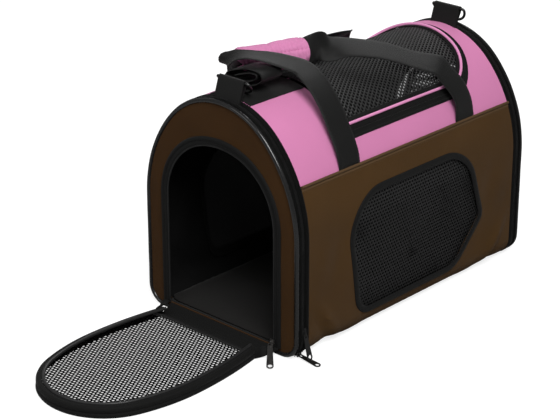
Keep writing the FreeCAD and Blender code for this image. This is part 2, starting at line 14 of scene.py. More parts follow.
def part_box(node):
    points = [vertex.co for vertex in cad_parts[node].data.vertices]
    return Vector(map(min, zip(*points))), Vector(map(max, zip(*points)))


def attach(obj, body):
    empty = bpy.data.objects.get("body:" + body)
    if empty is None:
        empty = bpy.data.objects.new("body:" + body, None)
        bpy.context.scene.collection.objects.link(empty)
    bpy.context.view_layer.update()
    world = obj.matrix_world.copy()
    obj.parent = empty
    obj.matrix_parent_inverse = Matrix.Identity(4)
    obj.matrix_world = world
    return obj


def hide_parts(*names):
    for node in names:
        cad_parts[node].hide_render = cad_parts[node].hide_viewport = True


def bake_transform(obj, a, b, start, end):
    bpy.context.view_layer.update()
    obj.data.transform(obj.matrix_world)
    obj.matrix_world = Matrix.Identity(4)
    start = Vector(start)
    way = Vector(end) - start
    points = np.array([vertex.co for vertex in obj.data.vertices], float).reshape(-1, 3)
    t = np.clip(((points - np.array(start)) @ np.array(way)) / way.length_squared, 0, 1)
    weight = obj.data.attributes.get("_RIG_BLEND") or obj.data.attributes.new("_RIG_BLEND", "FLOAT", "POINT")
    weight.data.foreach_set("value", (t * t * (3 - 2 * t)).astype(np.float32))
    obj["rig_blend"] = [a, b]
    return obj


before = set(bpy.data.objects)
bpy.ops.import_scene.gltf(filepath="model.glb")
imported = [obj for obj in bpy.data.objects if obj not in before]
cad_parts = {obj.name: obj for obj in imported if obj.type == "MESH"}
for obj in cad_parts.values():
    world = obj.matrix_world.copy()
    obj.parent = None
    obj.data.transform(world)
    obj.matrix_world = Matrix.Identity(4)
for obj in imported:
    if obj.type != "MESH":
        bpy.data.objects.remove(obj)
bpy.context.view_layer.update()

Array = np.ndarray
LOG = logging.getLogger("carrier")


# ---- outlines and surfaces ------------------------------------------------------------------
def unit(vectors: Array) -> Array:
    """Rows of vectors brought to length one."""
    return vectors / np.linalg.norm(vectors, axis=1)[:, None]


def run_along(points: Array) -> Array:
    """Distance travelled along a line at each of its points."""
    return np.concatenate([[0], np.cumsum(np.linalg.norm(np.diff(points, axis=0), axis=1))])


@dataclass(frozen=True)
class Arch:
    """An arch: a round crown on two side arcs, on straight legs or on legs that curve inwards."""

    half_w: float
    top: float
    crown: float
    side: float
    taper: float = 0.0

    @property
    def crown_z(self) -> float:
        """Height of the crown's centre."""
        return self.top - self.crown

    @property
    def spring(self) -> float:
        """Height where the side arcs start."""
        drop = math.sqrt((self.crown - self.side) ** 2 - (self.half_w - self.side) ** 2)
        return self.crown_z + math.copysign(drop, self.crown - self.side)

    @property
    def lean(self) -> float:
        """Angle above level where the side arcs meet the crown."""
        return math.atan2(abs(self.crown_z - self.spring), abs(self.side - self.half_w))

    def line(self, inset: float, foot: float, step: float = 0.004) -> Array:
        """Points along the arch, moved inwards.

        Args:
            inset: distance of the parallel line inside the arch.
            foot: height where both legs end.
            step: spacing of the points.

        Returns:
            Points (across, up) from the right foot over the top to the left foot.
        """
        side_r, crown_r = self.side - inset, self.crown - inset
        z = np.linspace(foot, self.spring, max(2, int((self.spring - foot) / step) + 1))[:-1]
        if self.taper:
            x = self.half_w - self.taper + np.sqrt((self.taper - inset) ** 2 - (z - self.spring) ** 2)
        else:
            x = np.full_like(z, self.half_w - inset)
        a = np.linspace(0, self.lean, max(2, int(side_r * self.lean / step) + 1))[:-1]
        b = np.linspace(self.lean, math.pi / 2, max(2, int(crown_r * (math.pi / 2 - self.lean) / step) + 1))
        right = np.vstack([
            np.stack([x, z], 1),
            np.stack([self.half_w - self.side + side_r * np.cos(a), self.spring + side_r * np.sin(a)], 1),
            np.stack([crown_r * np.cos(b), self.crown_z + crown_r * np.sin(b)], 1),
        ])
        return np.vstack([right, right[::-1][1:] * (-1, 1)])


BODY = Arch(0.130, 0.307, 0.1122, 0.175)
OPENING = Arch(0.102, 0.257, 0.120, 0.096)
DOOR = Arch(0.087, 0.2435, 0.0779, 0.240, 0.500)
HATCH = Arch(0.094, 0.174, 0.230, 0.055)
WINDOW = ((-0.139, 0.190, 0.062), (0.107, 0.190, 0.065), (0.142, 0.083, 0.018), (0.0845, 0.022, 0.045),
          (-0.1145, 0.022, 0.028))
BINDING_W = 0.009
CORNER_R = 0.026
SHELL_Y = 0.204
SEAM_Z = 0.220
HATCH_FRONT = -0.107
PANEL_Y = 0.2242
PIPING_R = 0.003
HINGE_Y, HINGE_Z = 0.2475, 0.002
DOOR_FOOT = 0.001
OPEN_TAPE, OPEN_Z = 0.010, 0.010
SHORT_STITCH, LONG_STITCH, TEETH = 0.0040, 0.0042, 0.0016
ROW_RATIO = 0.866  # spacing of the rows of a triangular grid, relative to the spacing in a row
GAUZE_T, THREAD_T = 0.0003, 0.0007
BAG = "bag_body"


class Surface(Protocol):
    """Something that cloth lies on: places flat points in space."""

    def place(self, uv: Array, out: Array | float) -> Array:
        """Points in space for flat points, raised by a height."""

    def normals(self, uv: Array) -> Array:
        """Directions in which the height grows."""


class Skin:
    """Fabric skin of the body, as (s, y): s runs down from the top of the dome, negative on the far side."""

    def __init__(self, arch: Arch, corner: float) -> None:
        """Measure the cross-section.

        Args:
            arch: outline of the body's cross-section.
            corner: radius of its bottom edges.
        """
        self.arch, self.corner = arch, corner
        lengths = [arch.crown * (math.pi / 2 - arch.lean), arch.side * arch.lean, arch.spring - corner,
                   corner * math.pi / 2, arch.half_w - corner]
        self.ends = np.cumsum(lengths)

    def section(self, s: Array) -> tuple[Array, Array, Array, Array]:
        """Cross-section at s.

        Args:
            s: distance along the section from the top of the dome.

        Returns:
            x, z and the outward direction's x and z.
        """
        arch, r, t = self.arch, self.corner, np.abs(s)
        on_crown, on_side, on_leg, on_corner = (t < end for end in self.ends[:4])
        turn = np.select([on_crown, on_side, on_leg, on_corner],
                         [math.pi / 2 - t / arch.crown, arch.lean - (t - self.ends[0]) / arch.side, 0.0,
                          -(t - self.ends[2]) / r], -math.pi / 2)
        cx = np.select([on_crown, on_side, on_leg, on_corner],
                       [0.0, arch.half_w - arch.side, arch.half_w, arch.half_w - r],
                       arch.half_w - r - (t - self.ends[3]))
        cz = np.select([on_crown, on_side, on_leg],
                       [arch.crown_z, arch.spring, arch.spring - (t - self.ends[1])], r)
        radius = np.select([on_crown, on_side, on_leg], [arch.crown, arch.side, 0.0], r)
        sign = np.where(s < 0, -1.0, 1.0)
        nx, nz = np.cos(turn), np.sin(turn)
        return sign * (cx + radius * nx), cz + radius * nz, sign * nx, nz

    def wave(self, uv: Array) -> Array:
        """Soft unevenness of the cloth, which fades out towards the sprung ends and along the bottom.

        Args:
            uv: (s, y) of the points.

        Returns:
            Height of the unevenness at each of them.
        """
        s, y = uv[:, 0], uv[:, 1]
        fade = np.clip((SHELL_Y - np.abs(y)) / 0.05, 0, 1) * np.clip((self.ends[2] - np.abs(s)) / 0.04, 0, 1)
        swell = (np.sin(23 * y + 9 * s + 0.7) + 0.6 * np.sin(41 * y - 17 * s + 2.1)
                 + 0.5 * np.sin(31 * s + 13 * y))
        return 0.0007 * fade * swell

    def place(self, uv: Array, out: Array | float) -> Array:
        """Put points on the skin.

        Args:
            uv: (s, y) of the points.
            out: height above the skin.

        Returns:
            The points in space.
        """
        x, z, nx, nz = self.section(uv[:, 0])
        high = self.wave(uv) + out
        return np.stack([x + nx * high, uv[:, 1], z + nz * high], 1)

    def normals(self, uv: Array) -> Array:
        """Outward directions of the skin."""
        _, _, nx, nz = self.section(uv[:, 0])
        return np.stack([nx, np.zeros_like(nx), nz], 1)

    def all_round(self, count: int) -> Array:
        """So many values of s, evenly spaced all the way round the body."""
        return np.linspace(-self.ends[4], self.ends[4], count, endpoint=False)

    def from_plan(self, xy: Array) -> Array:
        """Find where points seen from above lie on the dome.

        Args:
            xy: the points in plan.

        Returns:
            Their (s, y).
        """
        x, arch = np.abs(xy[:, 0]), self.arch
        crown = arch.crown * np.arcsin(np.clip(x / arch.crown, -1, 1))
        turn = np.arccos(np.clip((x - arch.half_w + arch.side) / arch.side, -1, 1))
        side = self.ends[0] + arch.side * (arch.lean - turn)
        s = np.where(x < arch.crown * math.cos(arch.lean), crown, side)
        return np.stack([np.copysign(s, xy[:, 0]), xy[:, 1]], 1)

    def from_side(self, yz: Array, sign: float) -> Array:
        """Find where points of the side view lie on a side.

        Args:
            yz: the points seen square on.
            sign: 1 for the near side, -1 for the far one.

        Returns:
            Their (s, y).
        """
        z, arch, r = yz[:, 1], self.arch, self.corner
        lean = np.arcsin(np.clip((z - arch.spring) / arch.side, -1, 1))
        above = self.ends[0] + arch.side * (arch.lean - lean)
        below = self.ends[2] + r * np.arcsin(np.clip((r - z) / r, -1, 1))
        s = np.select([z > arch.spring, z > r], [above, self.ends[1] + arch.spring - z], below)
        return np.stack([sign * s, yz[:, 0]], 1)


@dataclass(frozen=True)
class PlanView:
    """The dome seen from above: (x, y), with a sag in its middle."""

    skin: Skin
    sag: float = 0.0

    def place(self, uv: Array, out: Array | float) -> Array:
        """Put points on the dome, lowered where the cloth sags.

        Args:
            uv: the points in plan.
            out: height above the dome before it sags.

        Returns:
            The points in space.
        """
        along = (uv[:, 1] - HATCH_FRONT) / (HATCH.top - HATCH_FRONT)
        dip = np.clip(np.sin(math.pi * np.clip(along, 0, 1)), 0, 1) * np.clip(
            1 - (uv[:, 0] / HATCH.half_w) ** 2, 0, 1)
        folds = 1 + 0.25 * np.sin(60 * uv[:, 1] + 30 * uv[:, 0])
        return self.skin.place(self.skin.from_plan(uv), out - self.sag * dip * folds)

    def normals(self, uv: Array) -> Array:
        """Outward directions of the dome."""
        return self.skin.normals(self.skin.from_plan(uv))


@dataclass(frozen=True)
class SideView:
    """The near (sign 1) or far (-1) side seen square on: (y, z)."""

    skin: Skin
    sign: float

    def place(self, uv: Array, out: Array | float) -> Array:
        """Points on the side for points in the side view."""
        return self.skin.place(self.skin.from_side(uv, self.sign), out)

    def normals(self, uv: Array) -> Array:
        """Outward directions of the side."""
        return self.skin.normals(self.skin.from_side(uv, self.sign))


@dataclass(frozen=True)
class EndPlane:
    """Upright plane of one end, this far from the middle of the bag: (x, z)."""

    y: float
    rear: bool

    def place(self, uv: Array, out: Array | float) -> Array:
        """Points on the end, raised outwards."""
        high = self.y + out + np.zeros(len(uv))
        return np.stack([uv[:, 0], -high, uv[:, 1]], 1) * ((-1, -1, 1) if self.rear else (1, 1, 1))

    def normals(self, uv: Array) -> Array:
        """Outward direction of the end."""
        return np.tile([0.0, 1.0 if self.rear else -1.0, 0.0], (len(uv), 1))


@dataclass(frozen=True)
class DoorPlane:
    """Plane of a door: (x, distance from the hinge), raised from its outer face. The front door lies open."""

    rear: bool

    def place(self, uv: Array, out: Array | float) -> Array:
        """Put points on the door.

        Args:
            uv: distances across the door and from its hinge.
            out: height above its outer face.

        Returns:
            The points in space.
        """
        high = out + np.zeros(len(uv))
        if self.rear:
            return np.stack([-uv[:, 0], HINGE_Y + HINGE_Z - high, HINGE_Z + uv[:, 1]], 1)
        return np.stack([uv[:, 0], -HINGE_Y - uv[:, 1], high], 1)

    def normals(self, uv: Array) -> Array:
        """Direction of the door's inner face."""
        return np.tile([0.0, -1.0, 0.0] if self.rear else [0.0, 0.0, 1.0], (len(uv), 1))


SKIN = Skin(BODY, CORNER_R)
SEAM_S = SKIN.from_side(np.array([[0.0, SEAM_Z]]), 1)[0, 0]
SIDES = (("near", 1.0), ("far", -1.0))


def rounded(corners: Sequence[tuple[float, float, float]], step: float = 0.004) -> Array:
    """A closed outline with round corners.

    Args:
        corners: (across, up, radius) of each corner.
        step: spacing of the points.

    Returns:
        Points round the outline.
    """
    runs, count = [], len(corners)
    for i, (*here, r) in enumerate(corners):
        here = np.array(here)
        before = np.array(corners[i - 1][:2]) - here
        after = np.array(corners[(i + 1) % count][:2]) - here
        before, after = before / np.linalg.norm(before), after / np.linalg.norm(after)
        half = math.acos(float(before @ after)) / 2
        inward = (before + after) / np.linalg.norm(before + after)
        centre, reach = here + inward * (r / math.sin(half)), r / math.tan(half)
        a, b = here + before * reach - centre, here + after * reach - centre
        start = math.atan2(a[1], a[0])
        sweep_angle = (math.atan2(b[1], b[0]) - start + math.pi) % (2 * math.pi) - math.pi
        turn = start + np.linspace(0, sweep_angle, 8 + int(abs(sweep_angle) * r / step))
        runs.append(centre + r * np.stack([np.cos(turn), np.sin(turn)], 1))
    return spaced(np.vstack(runs), step, True)


def spaced(points: Array, step: float, closed: bool) -> Array:
    """The same line with evenly spaced points.

    Args:
        points: points of the line, in any number of dimensions.
        step: spacing wanted.
        closed: True for a loop, whose first point isn't repeated.

    Returns:
        Evenly spaced points.
    """
    line = np.vstack([points, points[:1]]) if closed else points
    length = run_along(line)
    count = max(3, int(round(length[-1] / step)))
    at = np.linspace(0, length[-1], count + 1)
    at = at[:-1] if closed else at
    return np.stack([np.interp(at, length, line[:, k]) for k in range(line.shape[1])], 1)


def straight_sides(corners: Sequence[tuple[float, float]], counts: Sequence[int]) -> Array:
    """A closed outline with straight sides and its corners kept.

    Args:
        corners: its corners.
        counts: how many steps each side is divided into.

    Returns:
        Points round the outline.
    """
    first = np.array(corners)
    return np.vstack([a + (b - a) * np.linspace(0, 1, count, endpoint=False)[:, None]
                      for a, b, count in zip(first, np.roll(first, -1, 0), counts)])


def moved_in(loop: Array, inset: float) -> Array:
    """A closed outline moved inwards.

    Args:
        loop: points of the outline.
        inset: distance to move it; negative to move it outwards.

    Returns:
        The moved points.
    """
    ahead = unit(np.roll(loop, -1, 0) - np.roll(loop, 1, 0))
    normal = np.stack([-ahead[:, 1], ahead[:, 0]], 1)
    area = np.sum(loop[:, 0] * np.roll(loop[:, 1], -1) - np.roll(loop[:, 0], -1) * loop[:, 1])
    return loop + normal * (inset if area > 0 else -inset)


def closed_arch(arch: Array, count: int) -> Array:
    """An arch's points with a straight foot of so many steps."""
    return np.vstack([arch, np.linspace(arch[-1], arch[0], count)[1:-1]])


def gap_to(loop: Array, points: Array) -> Array:
    """Distance from each point to the nearest point of a line."""
    return np.array([np.min(np.sum((loop - p) ** 2, 1)) for p in points]) ** 0.5


def inside(points: Array, loop: Array) -> Array:
    """Find which points lie inside a closed outline.

    Args:
        points: the points to test.
        loop: points of the outline.

    Returns:
        True for each point inside.
    """
    a, b = loop, np.roll(loop, -1, 0)
    crosses = np.zeros(len(points), bool)
    for (x0, y0), (x1, y1) in zip(a, b):
        if y0 != y1:
            between = (points[:, 1] > min(y0, y1)) & (points[:, 1] <= max(y0, y1))
            crosses ^= between & (points[:, 0] < x0 + (points[:, 1] - y0) * (x1 - x0) / (y1 - y0))
    return crosses


# ---- meshes ---------------------------------------------------------------------------------
def mesh_from(name: str, points: Array, faces: Sequence[Sequence[int]], uv: Array | None = None,
              slots: Sequence[int] | None = None, sharp: float = 40.0) -> bpy.types.Mesh:
    """A smooth-shaded closed mesh with its faces outwards.

    Args:
        name: name of the mesh.
        points: corners in space.
        faces: corner numbers of each face.
        uv: flat position of each corner on its cloth, in metres.
        slots: material slot of each face.
        sharp: edges that turn by more than this stay sharp, in degrees.

    Returns:
        The mesh.
    """
    mesh = bpy.data.meshes.new(name)
    mesh.from_pydata(points.tolist(), [], [list(f) for f in faces])
    if uv is not None:
        layer = mesh.uv_layers.new(name="cloth")
        corners = np.zeros(len(mesh.loops), np.int32)
        mesh.loops.foreach_get("vertex_index", corners)
        layer.data.foreach_set("uv", (np.asarray(uv)[corners] * 10).astype(np.float32).ravel())
    if slots is not None:
        mesh.polygons.foreach_set("material_index", np.asarray(slots, np.int32))
    turn_outwards(mesh)
    mesh.polygons.foreach_set("use_smooth", np.ones(len(mesh.polygons), bool))
    mesh.set_sharp_from_angle(angle=math.radians(sharp))
    mesh.update()
    return mesh


def into_scene(name: str, data: bpy.types.ID) -> bpy.types.Object:
    """A new object with this mesh, camera or light, in the scene.

    Args:
        name: name of the object.
        data: what it shows.

    Returns:
        The object.
    """
    thing = bpy.data.objects.new(name, data)
    bpy.context.scene.collection.objects.link(thing)
    return thing


def corners_of(mesh: bpy.types.Mesh) -> Array:
    """Places of a mesh's vertices.

    Args:
        mesh: the mesh to read.

    Returns:
        One row for each vertex.
    """
    places = np.zeros(len(mesh.vertices) * 3)
    mesh.vertices.foreach_get("co", places)
    return places.reshape(-1, 3)


def turn_outwards(mesh: bpy.types.Mesh) -> None:
    """Recalculate faces so that they point outwards.

    Args:
        mesh: a closed mesh, which is changed.
    """
    work = bmesh.new()
    work.from_mesh(mesh)
    bmesh.ops.recalc_face_normals(work, faces=work.faces)
    work.to_mesh(mesh)
    work.free()


def patch(name: str, surface: Surface, outline: Array, holes: Sequence[Array], step: float, out: float,
          thick: float, relief: Callable[[Array], Array] | None = None) -> bpy.types.Mesh:
    """A panel of cloth with a thickness, cut to an outline with holes.

    Args:
        name: name of the mesh.
        surface: what it lies on.
        outline: closed outline in the surface's flat coordinates.
        holes: closed outlines of its holes.
        step: spacing of its inner points.
        out: height of its outer face.
        thick: thickness, inwards.
        relief: extra height at flat points, such as puckers.

    Returns:
        The closed panel; its back faces have the second material slot.
    """
    low, high = outline.min(0), outline.max(0)
    grid = []
    for row, v in enumerate(np.arange(low[1] + step / 2, high[1], step * ROW_RATIO)):
        across = np.arange(low[0] + step / 2 + (row % 2) * step / 2, high[0], step)
        grid.append(np.stack([across, np.full_like(across, v)], 1))
    grid = np.vstack(grid)
    border = np.vstack([outline, *holes])
    keep = inside(grid, outline)
    for hole in holes:
        keep &= ~inside(grid, hole)
    grid = grid[keep]
    grid = grid[gap_to(border, grid) > 0.55 * step]
    edges, start = [], 0
    for loop in [outline, *holes]:
        edges += [(start + k, start + (k + 1) % len(loop)) for k in range(len(loop))]
        start += len(loop)
    flat, _, faces, *_ = geometry.delaunay_2d_cdt(
        [Vector(p) for p in np.vstack([border, grid])], edges, [], 0, 1e-7)
    flat = np.array([tuple(p) for p in flat])
    faces = np.array([tuple(f) for f in faces])
    middle = flat[faces].mean(1)
    keep = inside(middle, outline)
    for hole in holes:
        keep &= ~inside(middle, hole)
    faces = faces[keep]
    used = np.unique(faces)
    number = np.full(len(flat), -1)
    number[used] = np.arange(len(used))
    flat, faces = flat[used], number[faces]
    sides = {}
    for a, b, c in faces:
        for edge in ((a, b), (b, c), (c, a)):
            sides[edge] = sides.get(edge, 0) + 1
    rim = [(a, b) for a, b in sides if (b, a) not in sides]
    count = len(flat)
    lift = relief(flat) if relief else 0.0
    points = np.vstack([surface.place(flat, out + lift), surface.place(flat, out + lift - thick)])
    walls = [(b, a, a + count, b + count) for a, b in rim]
    every = [tuple(f) for f in faces] + [tuple(f[::-1] + count) for f in faces] + walls
    slots = [0] * len(faces) + [1] * len(faces) + [0] * len(walls)
    return mesh_from(name, points, every, np.vstack([flat, flat]), slots)


@dataclass
class Line:
    """A line in space with the direction across it and the direction it faces at every point."""

    points: Array
    across: Array
    facing: Array
    closed: bool = False

    @property
    def ahead(self) -> Array:
        """Direction of the line.

        Returns:
            One unit vector for every point.
        """
        if self.closed:
            return unit(np.roll(self.points, -1, 0) - np.roll(self.points, 1, 0))
        return unit(np.gradient(self.points, axis=0))

    def moved(self, across: float, out: float) -> "Line":
        """The same line moved sideways and outwards."""
        return Line(self.points + self.across * across + self.facing * out, self.across, self.facing,
                    self.closed)


def line_across(points: Array, across: tuple[float, float, float]) -> Line:
    """A line whose direction across is the same all along it.

    Args:
        points: its points.
        across: direction across it.

    Returns:
        The line.
    """
    same = np.tile(np.array(across, float), (len(points), 1))
    return Line(points, same, np.cross(same, Line(points, same, same).ahead))


def line_on(surface: Surface, uv: Array, out: float, closed: bool, step: float = 0.004) -> Line:
    """A line that follows flat points on a surface.

    Args:
        surface: what it lies on.
        uv: flat points.
        out: height above the surface.
        closed: True for a loop.
        step: spacing of the points.

    Returns:
        The line, facing away from the surface.
    """
    uv = spaced(uv, step, closed)
    points, facing = surface.place(uv, out), surface.normals(uv)
    bare = Line(points, facing, facing, closed)
    across = unit(np.cross(bare.ahead, facing))
    return Line(points, across, np.cross(across, bare.ahead), closed)


def skin_faces(count: int, around: int, closed: bool) -> list[tuple[int, ...]]:
    """Faces of a skin over cross-sections that follow one another.

    Args:
        count: number of cross-sections.
        around: number of corners in each.
        closed: True if the last one joins the first; otherwise both ends are capped.

    Returns:
        Corner numbers of each face.
    """
    faces = []
    for i in range(count if closed else count - 1):
        a, b = i * around, ((i + 1) % count) * around
        faces += [(a + k, a + (k + 1) % around, b + (k + 1) % around, b + k) for k in range(around)]
    return faces if closed else faces + [tuple(range(around)),
                                         tuple(range((count - 1) * around, count * around))]


def sweep(name: str, line: Line, section: Array, size: Array | None = None,
          sharp: float = 40.0) -> bpy.types.Mesh:
    """A closed cross-section carried along a line.

    Args:
        name: name of the mesh.
        line: what it follows.
        section: corners of the cross-section as (across, out).
        size: scale of the section at every point, as (across, out) pairs.
        sharp: edges that turn by more than this stay sharp, in degrees.

    Returns:
        The closed mesh.
    """
    count, around = len(line.points), len(section)
    faces = skin_faces(count, around, line.closed)
    scale = np.ones((count, 2)) if size is None else size
    shape = section[None, :, :] * scale[:, None, :]
    points = (line.points[:, None, :] + shape[:, :, :1] * line.across[:, None, :]
              + shape[:, :, 1:] * line.facing[:, None, :]).reshape(-1, 3)
    uv = np.stack([np.tile(run_along(section), count), np.repeat(run_along(line.points), around)], 1)
    return mesh_from(name, points, faces, uv, sharp=sharp)


def even(uv: Array, count: int) -> Array:
    """Flat points at equal steps along an open line.

    Args:
        uv: the line's points.
        count: how many points to return.

    Returns:
        The points, with both ends kept.
    """
    run = run_along(uv)
    at = np.linspace(0, run[-1], count)
    return np.stack([np.interp(at, run, uv[:, k]) for k in (0, 1)], 1)


def band(name: str, surface: Surface, edges: tuple[Array, Array], out: float, thick: float,
         crown: float = 0.0, count: int = 200) -> bpy.types.Mesh:
    """A tape that fills the space between two open lines on a surface.

    Args:
        name: name of the mesh.
        surface: what it lies on.
        edges: flat points of the two edges, which run the same way.
        out: height of its under side.
        thick: thickness of the tape.
        crown: how far its middle bulges.
        count: number of cross-sections.

    Returns:
        The closed mesh.
    """
    a, b = (surface.place(even(edge, count), out) for edge in edges)
    width = np.linalg.norm(b - a, axis=1)
    across = (b - a) / width[:, None]
    line = Line((a + b) / 2, across, across)
    facing = unit(np.cross(across, line.ahead))
    middle = surface.normals(even((even(edges[0], count) + even(edges[1], count)) / 2, count))
    facing *= np.sign(np.sum(facing * middle, axis=1))[:, None]
    widest = float(width.max())
    return sweep(name, Line(line.points, across, facing), tape_section(widest, thick, crown),
                 np.stack([width / widest, np.ones(count)], 1))


def round_section(radius: float, sides: int = 12) -> Array:
    """Corners of a round cross-section."""
    turn = np.linspace(0, 2 * math.pi, sides, endpoint=False)
    return np.stack([radius * np.cos(turn), radius * np.sin(turn)], 1)


def tape_section(width: float, thick: float, crown: float = 0.0) -> Array:
    """Cross-section of a tape with soft edges.

    Args:
        width: its width.
        thick: its thickness near the edges.
        crown: how far its middle bulges.

    Returns:
        Corners as (across, out).
    """
    half, e = width / 2, min(thick * 0.35, width / 8)
    top = [(-half + e, thick - e * 0.4), (-half * 0.5, thick + crown * 0.8), (0, thick + crown),
           (half * 0.5, thick + crown * 0.8), (half - e, thick - e * 0.4)]
    return np.array([(-half, e), *top, (half, e), (half - e, 0), (-half + e, 0)])


def strip_section(half: float, low: float, high: float, count: int) -> Array:
    """Cross-section of a flat strip.

    Args:
        half: half of its width.
        low: height of its lower face.
        high: height of its upper face.
        count: number of corners along each face.

    Returns:
        Corners as (across, out).
    """
    columns = np.linspace(-half, half, count)
    return np.vstack([np.stack([columns, np.full(count, low)], 1),
                      np.stack([columns[::-1], np.full(count, high)], 1)])


# ---- node trees -----------------------------------------------------------------------------
class Wire:
    """An output socket that numbers and other wires can be added to and multiplied by."""

    def __init__(self, graph: "Graph", socket: bpy.types.NodeSocket) -> None:
        """Keep the socket and its tree."""
        self.graph, self.socket = graph, socket

    def _math(self, operation: str, a: "Wire | float", b: "Wire | float") -> "Wire":
        """A Math node's output."""
        return self.graph.add("ShaderNodeMath", {"operation": operation}, {0: a, 1: b})

    def __add__(self, other: "Wire | float") -> "Wire":
        """Sum."""
        return self._math("ADD", self, other)

    __radd__ = __add__

    def __mul__(self, other: "Wire | float") -> "Wire":
        """Product."""
        return self._math("MULTIPLY", self, other)

    __rmul__ = __mul__

    def sine(self) -> "Wire":
        """Sine, in radians."""
        return self._math("SINE", self, 0.0)


class Graph:
    """A node tree that is built by one method."""

    def __init__(self, tree: bpy.types.NodeTree) -> None:
        """Start with an empty tree."""
        tree.nodes.clear()
        self.tree = tree

    def add(self, kind: str, settings: dict | None = None, inputs: dict | None = None,
            output: int | str = 0) -> Wire:
        """Add a node.

        Args:
            kind: type of the node.
            settings: its properties, and "stops" for a ramp's (position, colour) pairs.
            inputs: value or wire for each socket, by name or number.
            output: which output to give back.

        Returns:
            The output as a wire.
        """
        node = self.tree.nodes.new(kind)
        for key, value in (settings or {}).items():
            if key == "stops":
                ramp = node.color_ramp
                while len(ramp.elements) < len(value):
                    ramp.elements.new(1.0)
                for stop, (place, colour) in zip(ramp.elements, value):
                    stop.position, stop.color = place, colour
            else:
                setattr(node, key, value)
        for key, value in (inputs or {}).items():
            if isinstance(value, Wire):
                self.tree.links.new(value.socket, node.inputs[key])
            else:
                node.inputs[key].default_value = value
        sockets = [s for s in node.outputs if s.enabled] if isinstance(output, int) else node.outputs
        return Wire(self, sockets[output]) if len(node.outputs) else None


class Tree(Graph):
    """A geometry-nodes tree with named inputs."""

    def __init__(self, name: str, sizes: dict[str, float], seed: int = 0) -> None:
        """Make the tree with a mesh in and a mesh out.

        Args:
            name: name of the tree.
            sizes: named number inputs and their values.
            seed: fixed seed for anything random.
        """
        super().__init__(bpy.data.node_groups.new(name, "GeometryNodeTree"))
        face = self.tree.interface
        face.new_socket("Geometry", in_out="INPUT", socket_type="NodeSocketGeometry")
        face.new_socket("Geometry", in_out="OUTPUT", socket_type="NodeSocketGeometry")
        self.keys = {}
        for key in sizes:
            self.keys[key] = face.new_socket(key, in_out="INPUT", socket_type="NodeSocketFloat").identifier
        self.keys["Seed"] = face.new_socket("Seed", in_out="INPUT", socket_type="NodeSocketInt").identifier
        self.keys["Material"] = face.new_socket("Material", in_out="INPUT",
                                                socket_type="NodeSocketMaterial").identifier
        self.values = {**sizes, "Seed": seed}
        self.entry = self.tree.nodes.new("NodeGroupInput")

    def given(self, key: str) -> Wire:
        """A named input as a wire."""
        return Wire(self, self.entry.outputs[key])

    def end(self, instances: Wire) -> None:
        """Realize the instances, set their material and end the tree.

        Args:
            instances: what the tree has placed.
        """
        real = self.add("GeometryNodeRealizeInstances", {}, {0: instances})
        smooth = self.add("GeometryNodeSetShadeSmooth", {}, {0: real})
        dressed = self.add("GeometryNodeSetMaterial", {},
                           {"Geometry": smooth, "Material": self.given("Material")})
        last = self.tree.nodes.new("NodeGroupOutput")
        self.tree.links.new(dressed.socket, last.inputs[0])

    def bake(self, name: str, points: Array, vectors: dict[str, Array],
             material: bpy.types.Material) -> bpy.types.Mesh:
        """Run the tree on a cloud of points.

        Args:
            name: name of the mesh that it gives.
            points: where the instances go.
            vectors: named directions at every point.
            material: finish of the result.

        Returns:
            The result as a plain mesh.
        """
        cloud = bpy.data.meshes.new(name + "_points")
        cloud.from_pydata(points.tolist(), [], [])
        for key, value in vectors.items():
            cloud.attributes.new(key, "FLOAT_VECTOR", "POINT").data.foreach_set(
                "vector", np.asarray(value, np.float32).ravel())
        holder = into_scene(name + "_points", cloud)
        modifier = holder.modifiers.new("nodes", "NODES")
        modifier.node_group = self.tree
        for key, value in {**self.values, "Material": material}.items():
            modifier[self.keys[key]] = value
        seen = holder.evaluated_get(bpy.context.evaluated_depsgraph_get())
        mesh = bpy.data.meshes.new_from_object(seen)
        mesh.name = name
        holder.modifiers.remove(modifier)
        bpy.data.objects.remove(holder)
        bpy.data.meshes.remove(cloud)
        for attribute in [a.name for a in mesh.attributes if a.name in vectors]:
            mesh.attributes.remove(mesh.attributes[attribute])
        if not mesh.materials:
            mesh.materials.append(material)
        return mesh


class BeadKind(Enum):
    """Small things that are set in rows, as (length, width, height) in metres."""

    STITCH = (0.0030, 0.0007, 0.0006)
    HEAVY_STITCH = (0.0036, 0.0010, 0.0008)
    TOOTH = (0.0008, 0.0021, 0.0011)


